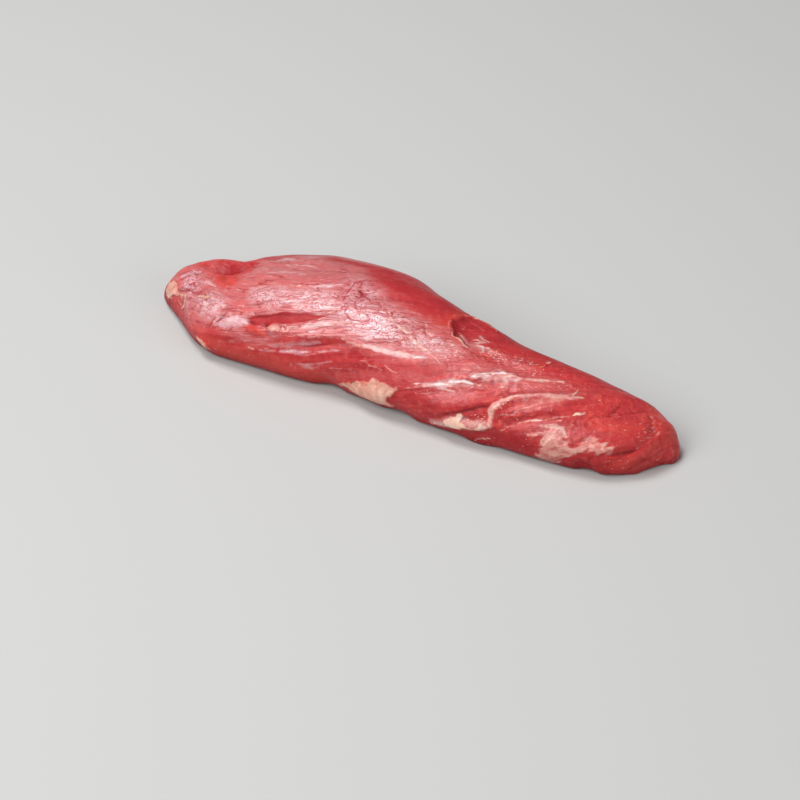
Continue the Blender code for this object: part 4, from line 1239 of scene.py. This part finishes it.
# painted fine gloss on the film's ripples
painted_fine_gloss = ("MULTIPLY", add("MapRange", [noise["ripples"], 0.54, 0.70]), mask["Film"])
in_creases = ("MULTIPLY", ("SUBTRACT", 1.0, between["creases"]), mask["Film"])
# painted shade in the film's creases and the head's wrinkles, weaker where the film is calm
crease_shade = ("MULTIPLY", ("MAXIMUM", ("MULTIPLY", mask["Crease"], 0.5), in_creases), calm)
veiled = lay(
    muscle,
    [
        ("film", film_amount, 0.50),
        # painted sheen, warmer towards the tail
        (sheen_colour, sheen_amount, 0.80),
        # painted fine gloss
        ("bright film", painted_fine_gloss, 0.26),
        # painted shade in the creases
        ("dark muscle", crease_shade, 0.66),
        ("vessel", ("MULTIPLY", on_cracks, mask["Crackle"]), 0.75),
        ("vessel", amount["vein"], 0.72),
        # pale flecks of torn film, some of them painted glints
        ("pale fat", flecks, 0.65),
    ],
)
print("nodes with the film:", len(tree.nodes))

# %% Silverskin, fat, glints and deep places
skin_cut = add("MapRange", [("ADD", noise["lumps"], noise["streaks"]), 0.75, 1.20, 0.40, 0.95])
skin_amount = add("Math", [amount["silverskin"], skin_cut], operation="MULTIPLY")
lumpy = add("MapRange", [("ADD", noise["lumps"], noise["granules"]), 0.55, 1.00])
pale_grains_and_highlights = add("MapRange", [noise["granules"], 0.48, 0.72])
fat_colour = lay(
    linear_light(PALETTE["pink fat"]),
    [
        ("fat", ("MULTIPLY", lumpy, amount["thick fat"]), 1.0),
        # paler grains on thick fat, partly painted highlights on its lumps
        ("pale fat", ("MULTIPLY", pale_grains_and_highlights, amount["thick fat"]), 0.50),
        # painted light: the fat is painted paler towards the tail, where it lies in shade on the near side
        ("pale fat", mask["Tailward"], 0.9),
    ],
)
base_colour = lay(
    veiled,
    [
        ("silverskin", skin_amount, 0.85),
        (fat_colour, amount["fat"], 0.90),
        # painted glints on the sharpest ridges
        ("glint", amount["glint"], 0.85),
        # painted shade in the grooves and painted shadow at the ground
        ("recess", mask["Deep"], 0.70),
    ],
)
print("nodes with all colours:", len(tree.nodes))

# %% [markdown]
# ## Bumps and wetness
# Ripples in the film, fibre ends and granules of fat are too fine for the mesh, so they only bend the light.
# The juice is a clear coat. It lies thickly on film, silverskin and fat, and the bare muscle soaks it up, so
# the coat is weaker there, and weakest in the shade.

# %% Bumps too fine for the mesh: what makes them, and their height in millimetres
cracked_film = ("MULTIPLY", between["cracks"], mask["Crackle"])
FILM_BUMPS = [(("SUBTRACT", noise["ripples"], 0.5), 0.14), (between["creases"], 0.12), (cracked_film, 0.28)]
film_height = 0.0
for shape, size in FILM_BUMPS:
    film_height = ("ADD", film_height, ("MULTIPLY", shape, size))
on_film = add("MapRange", [mask["Film"], 0.0, 1.0, 0.40, 1.0])
on_tail = add("MapRange", [mask["Tailward"], 0.0, 1.0, 0.40, 1.00])

BUMPS = [
    (("MULTIPLY", ("MULTIPLY", film_height, calm), on_film), 1.0),
    (noise["grain"], 0.05),
    (("MULTIPLY", ("MULTIPLY", noise["mottle"], calm), on_tail), 1.0),
    (flecks, 0.12),
    (("MULTIPLY", noise["granules"], skin_amount), 0.45),
    (("MULTIPLY", ("ADD", noise["lumps"], noise["granules"]), amount["fat"]), 0.70),
]
height = 0.0
for shape, size in BUMPS:
    height = ("ADD", height, ("MULTIPLY", shape, size))
bump = add("Bump", {"Height": height, "Strength": 1.0, "Distance": MM})
print("bumps:", len(BUMPS) + len(FILM_BUMPS))

# %% The shader of wet meat
FLESH_DEPTH = 0.0018  # how far red light travels in the flesh: green goes a quarter as far, and blue less
JUICE_IOR, FLESH_IOR = 1.45, 1.35  # how strongly each bends light

covered = ("ADD", ("ADD", mask["Film"], skin_amount), ("MULTIPLY", amount["fat"], 0.3))
covered = ("ADD", covered, ("MULTIPLY", mask["Tailward"], 0.12))
wetness = add("MapRange", [covered, 0.0, 0.8, 0.12, 1.0])
wetness = ("MULTIPLY", wetness, add("MapRange", [amount["vein"], 0.0, 1.0, 1.0, 0.60]))
wetness = ("MULTIPLY", wetness, add("MapRange", [mask["Shade"], 0.0, 1.0, 1.0, 0.45]))
shader = add(
    "BsdfPrincipled",
    {
        "Base Color": base_colour,
        "Roughness": add("MapRange", [noise["blotches"], 0.3, 0.7, 0.30, 0.42]),
        "IOR": FLESH_IOR,
        "Specular IOR Level": 0.12,
        "Subsurface Weight": 0.85,
        "Subsurface Radius": [1.0, 0.25, 0.15],
        "Subsurface Scale": FLESH_DEPTH,
        "Coat Weight": wetness,
        "Coat Roughness": 0.07,
        "Coat IOR": JUICE_IOR,
        "Normal": bump,
        "Coat Normal": bump,
    },
)
add("OutputMaterial", {"Surface": shader})
mesh.materials.append(material)
print("material:", material.name, "with", len(tree.nodes), "nodes")

# %% [markdown]
# ## The piece's place in the model
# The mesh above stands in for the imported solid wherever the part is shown. It rides on the body that the
# solid belongs to, and its material can later be changed under the name of its slot.

# %% Give the piece its place
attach(meat, "root")
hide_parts("tenderloin")
print("meat stands in for the tenderloin")

# %% [markdown]
# ## The floor
# The meat lies on a plain floor, a single face that reaches far beyond the picture. It is pale and matt, so
# it throws a little light back on the sides and takes a soft shadow.

# %% Floor
FLOOR_HALF = 3.0
FLOOR_GREY = "#B5B5B4"
FLOOR_ROUGHNESS = 0.8

floor_mesh = bpy.data.meshes.new("floor")
corner_signs = [(-1.0, -1.0), (1.0, -1.0), (1.0, 1.0), (-1.0, 1.0)]
floor_corners = [(FLOOR_HALF * sign_x, FLOOR_HALF * sign_y, 0.0) for sign_x, sign_y in corner_signs]
floor_mesh.from_pydata(floor_corners, [], [(0, 1, 2, 3)])
floor = bpy.data.objects.new("floor", floor_mesh)
bpy.context.scene.collection.objects.link(floor)
# Matt pale grey: it shows no highlight of its own, so the eye stays on the meat
floor_material = bpy.data.materials.new("Matt pale grey")
floor_material.use_nodes = True
floor_shader = floor_material.node_tree.nodes["Principled BSDF"]
floor_shader.inputs["Base Color"].default_value = linear_light(FLOOR_GREY)
floor_shader.inputs["Roughness"].default_value = FLOOR_ROUGHNESS
floor_mesh.materials.append(floor_material)
print("floor:", 2 * FLOOR_HALF, "m wide")

# %% [markdown]
# ## Light
# Wet meat is shown by its highlights, and a highlight is the mirror image of a lamp, so the size and place
# of each lamp are chosen by the highlight it has to make. A soft one overhead, a bit to the left, makes the
# wet sheen along the back. A larger one in front on the left opens the near side, and a low one on the right
# picks out the folds of the tail. A weak white sky fills the shadows.

# %% Lamps and sky
# name, direction that it shines from, distance and side in metres, and power in watts
LAMPS = [
    ("overhead", (-0.33, 0.02, 0.94), 1.5, 0.60, 15.0),
    ("front", (-0.30, -0.76, 0.74), 2.0, 1.4, 34.0),
    ("right", (0.95, -0.24, 0.38), 2.0, 1.4, 14.0),
]
SKY_STRENGTH = 0.18

for name, direction, distance, side, power in LAMPS:
    light = bpy.data.lights.new(name, "AREA")
    light.size = side
    light.energy = power
    lamp = bpy.data.objects.new(name, light)
    towards = Vector(direction).normalized()
    lamp.location = towards * distance
    lamp.rotation_euler = (-towards).to_track_quat("-Z", "Y").to_euler()
    lamp.visible_camera = False
    bpy.context.scene.collection.objects.link(lamp)

world = bpy.data.worlds.new("studio")
world.use_nodes = True
sky = world.node_tree.nodes["Background"]
sky.inputs["Color"].default_value = (1.0, 1.0, 1.0, 1.0)
sky.inputs["Strength"].default_value = SKY_STRENGTH
bpy.context.scene.world = world
bpy.context.scene.view_settings.view_transform = "Standard"
print("lamps:", ", ".join(name for name, *_ in LAMPS))

# %% [markdown]
# ## Camera
# The camera stands where the photograph's stood, in front and a little to the right, and looks down with a
# long lens, so that the outline can be compared with the photograph's. A long lens is given by its focal
# length in pixels, which is what a photograph can be measured in.

# %% Camera at the photograph's angle
VIEW_AZIMUTH, VIEW_ELEVATION = np.radians(28.5), np.radians(36.3)
VIEW_DISTANCE = 1.8145
VIEW_TARGET = Vector((-0.003, -0.0089, -0.006))
FOCAL_PIXELS, IMAGE_PIXELS, SENSOR = 3919.0, 800.0, 36.0
DROP_PIXELS = 5.3  # the photograph is framed this much above the lens's axis

level_part = np.cos(VIEW_ELEVATION)
back = Vector(
    (np.sin(VIEW_AZIMUTH) * level_part, -np.cos(VIEW_AZIMUTH) * level_part, np.sin(VIEW_ELEVATION))
)
camera_data = bpy.data.cameras.new("camera")
camera_data.sensor_width = SENSOR
camera_data.lens = FOCAL_PIXELS / IMAGE_PIXELS * SENSOR
camera_data.shift_y = -DROP_PIXELS / IMAGE_PIXELS
camera = bpy.data.objects.new("camera", camera_data)
camera.location = VIEW_TARGET + back * VIEW_DISTANCE
camera.rotation_euler = (-back).to_track_quat("-Z", "Y").to_euler()
bpy.context.scene.collection.objects.link(camera)
bpy.context.scene.camera = camera
print("lens in mm:", round(camera_data.lens, 1))
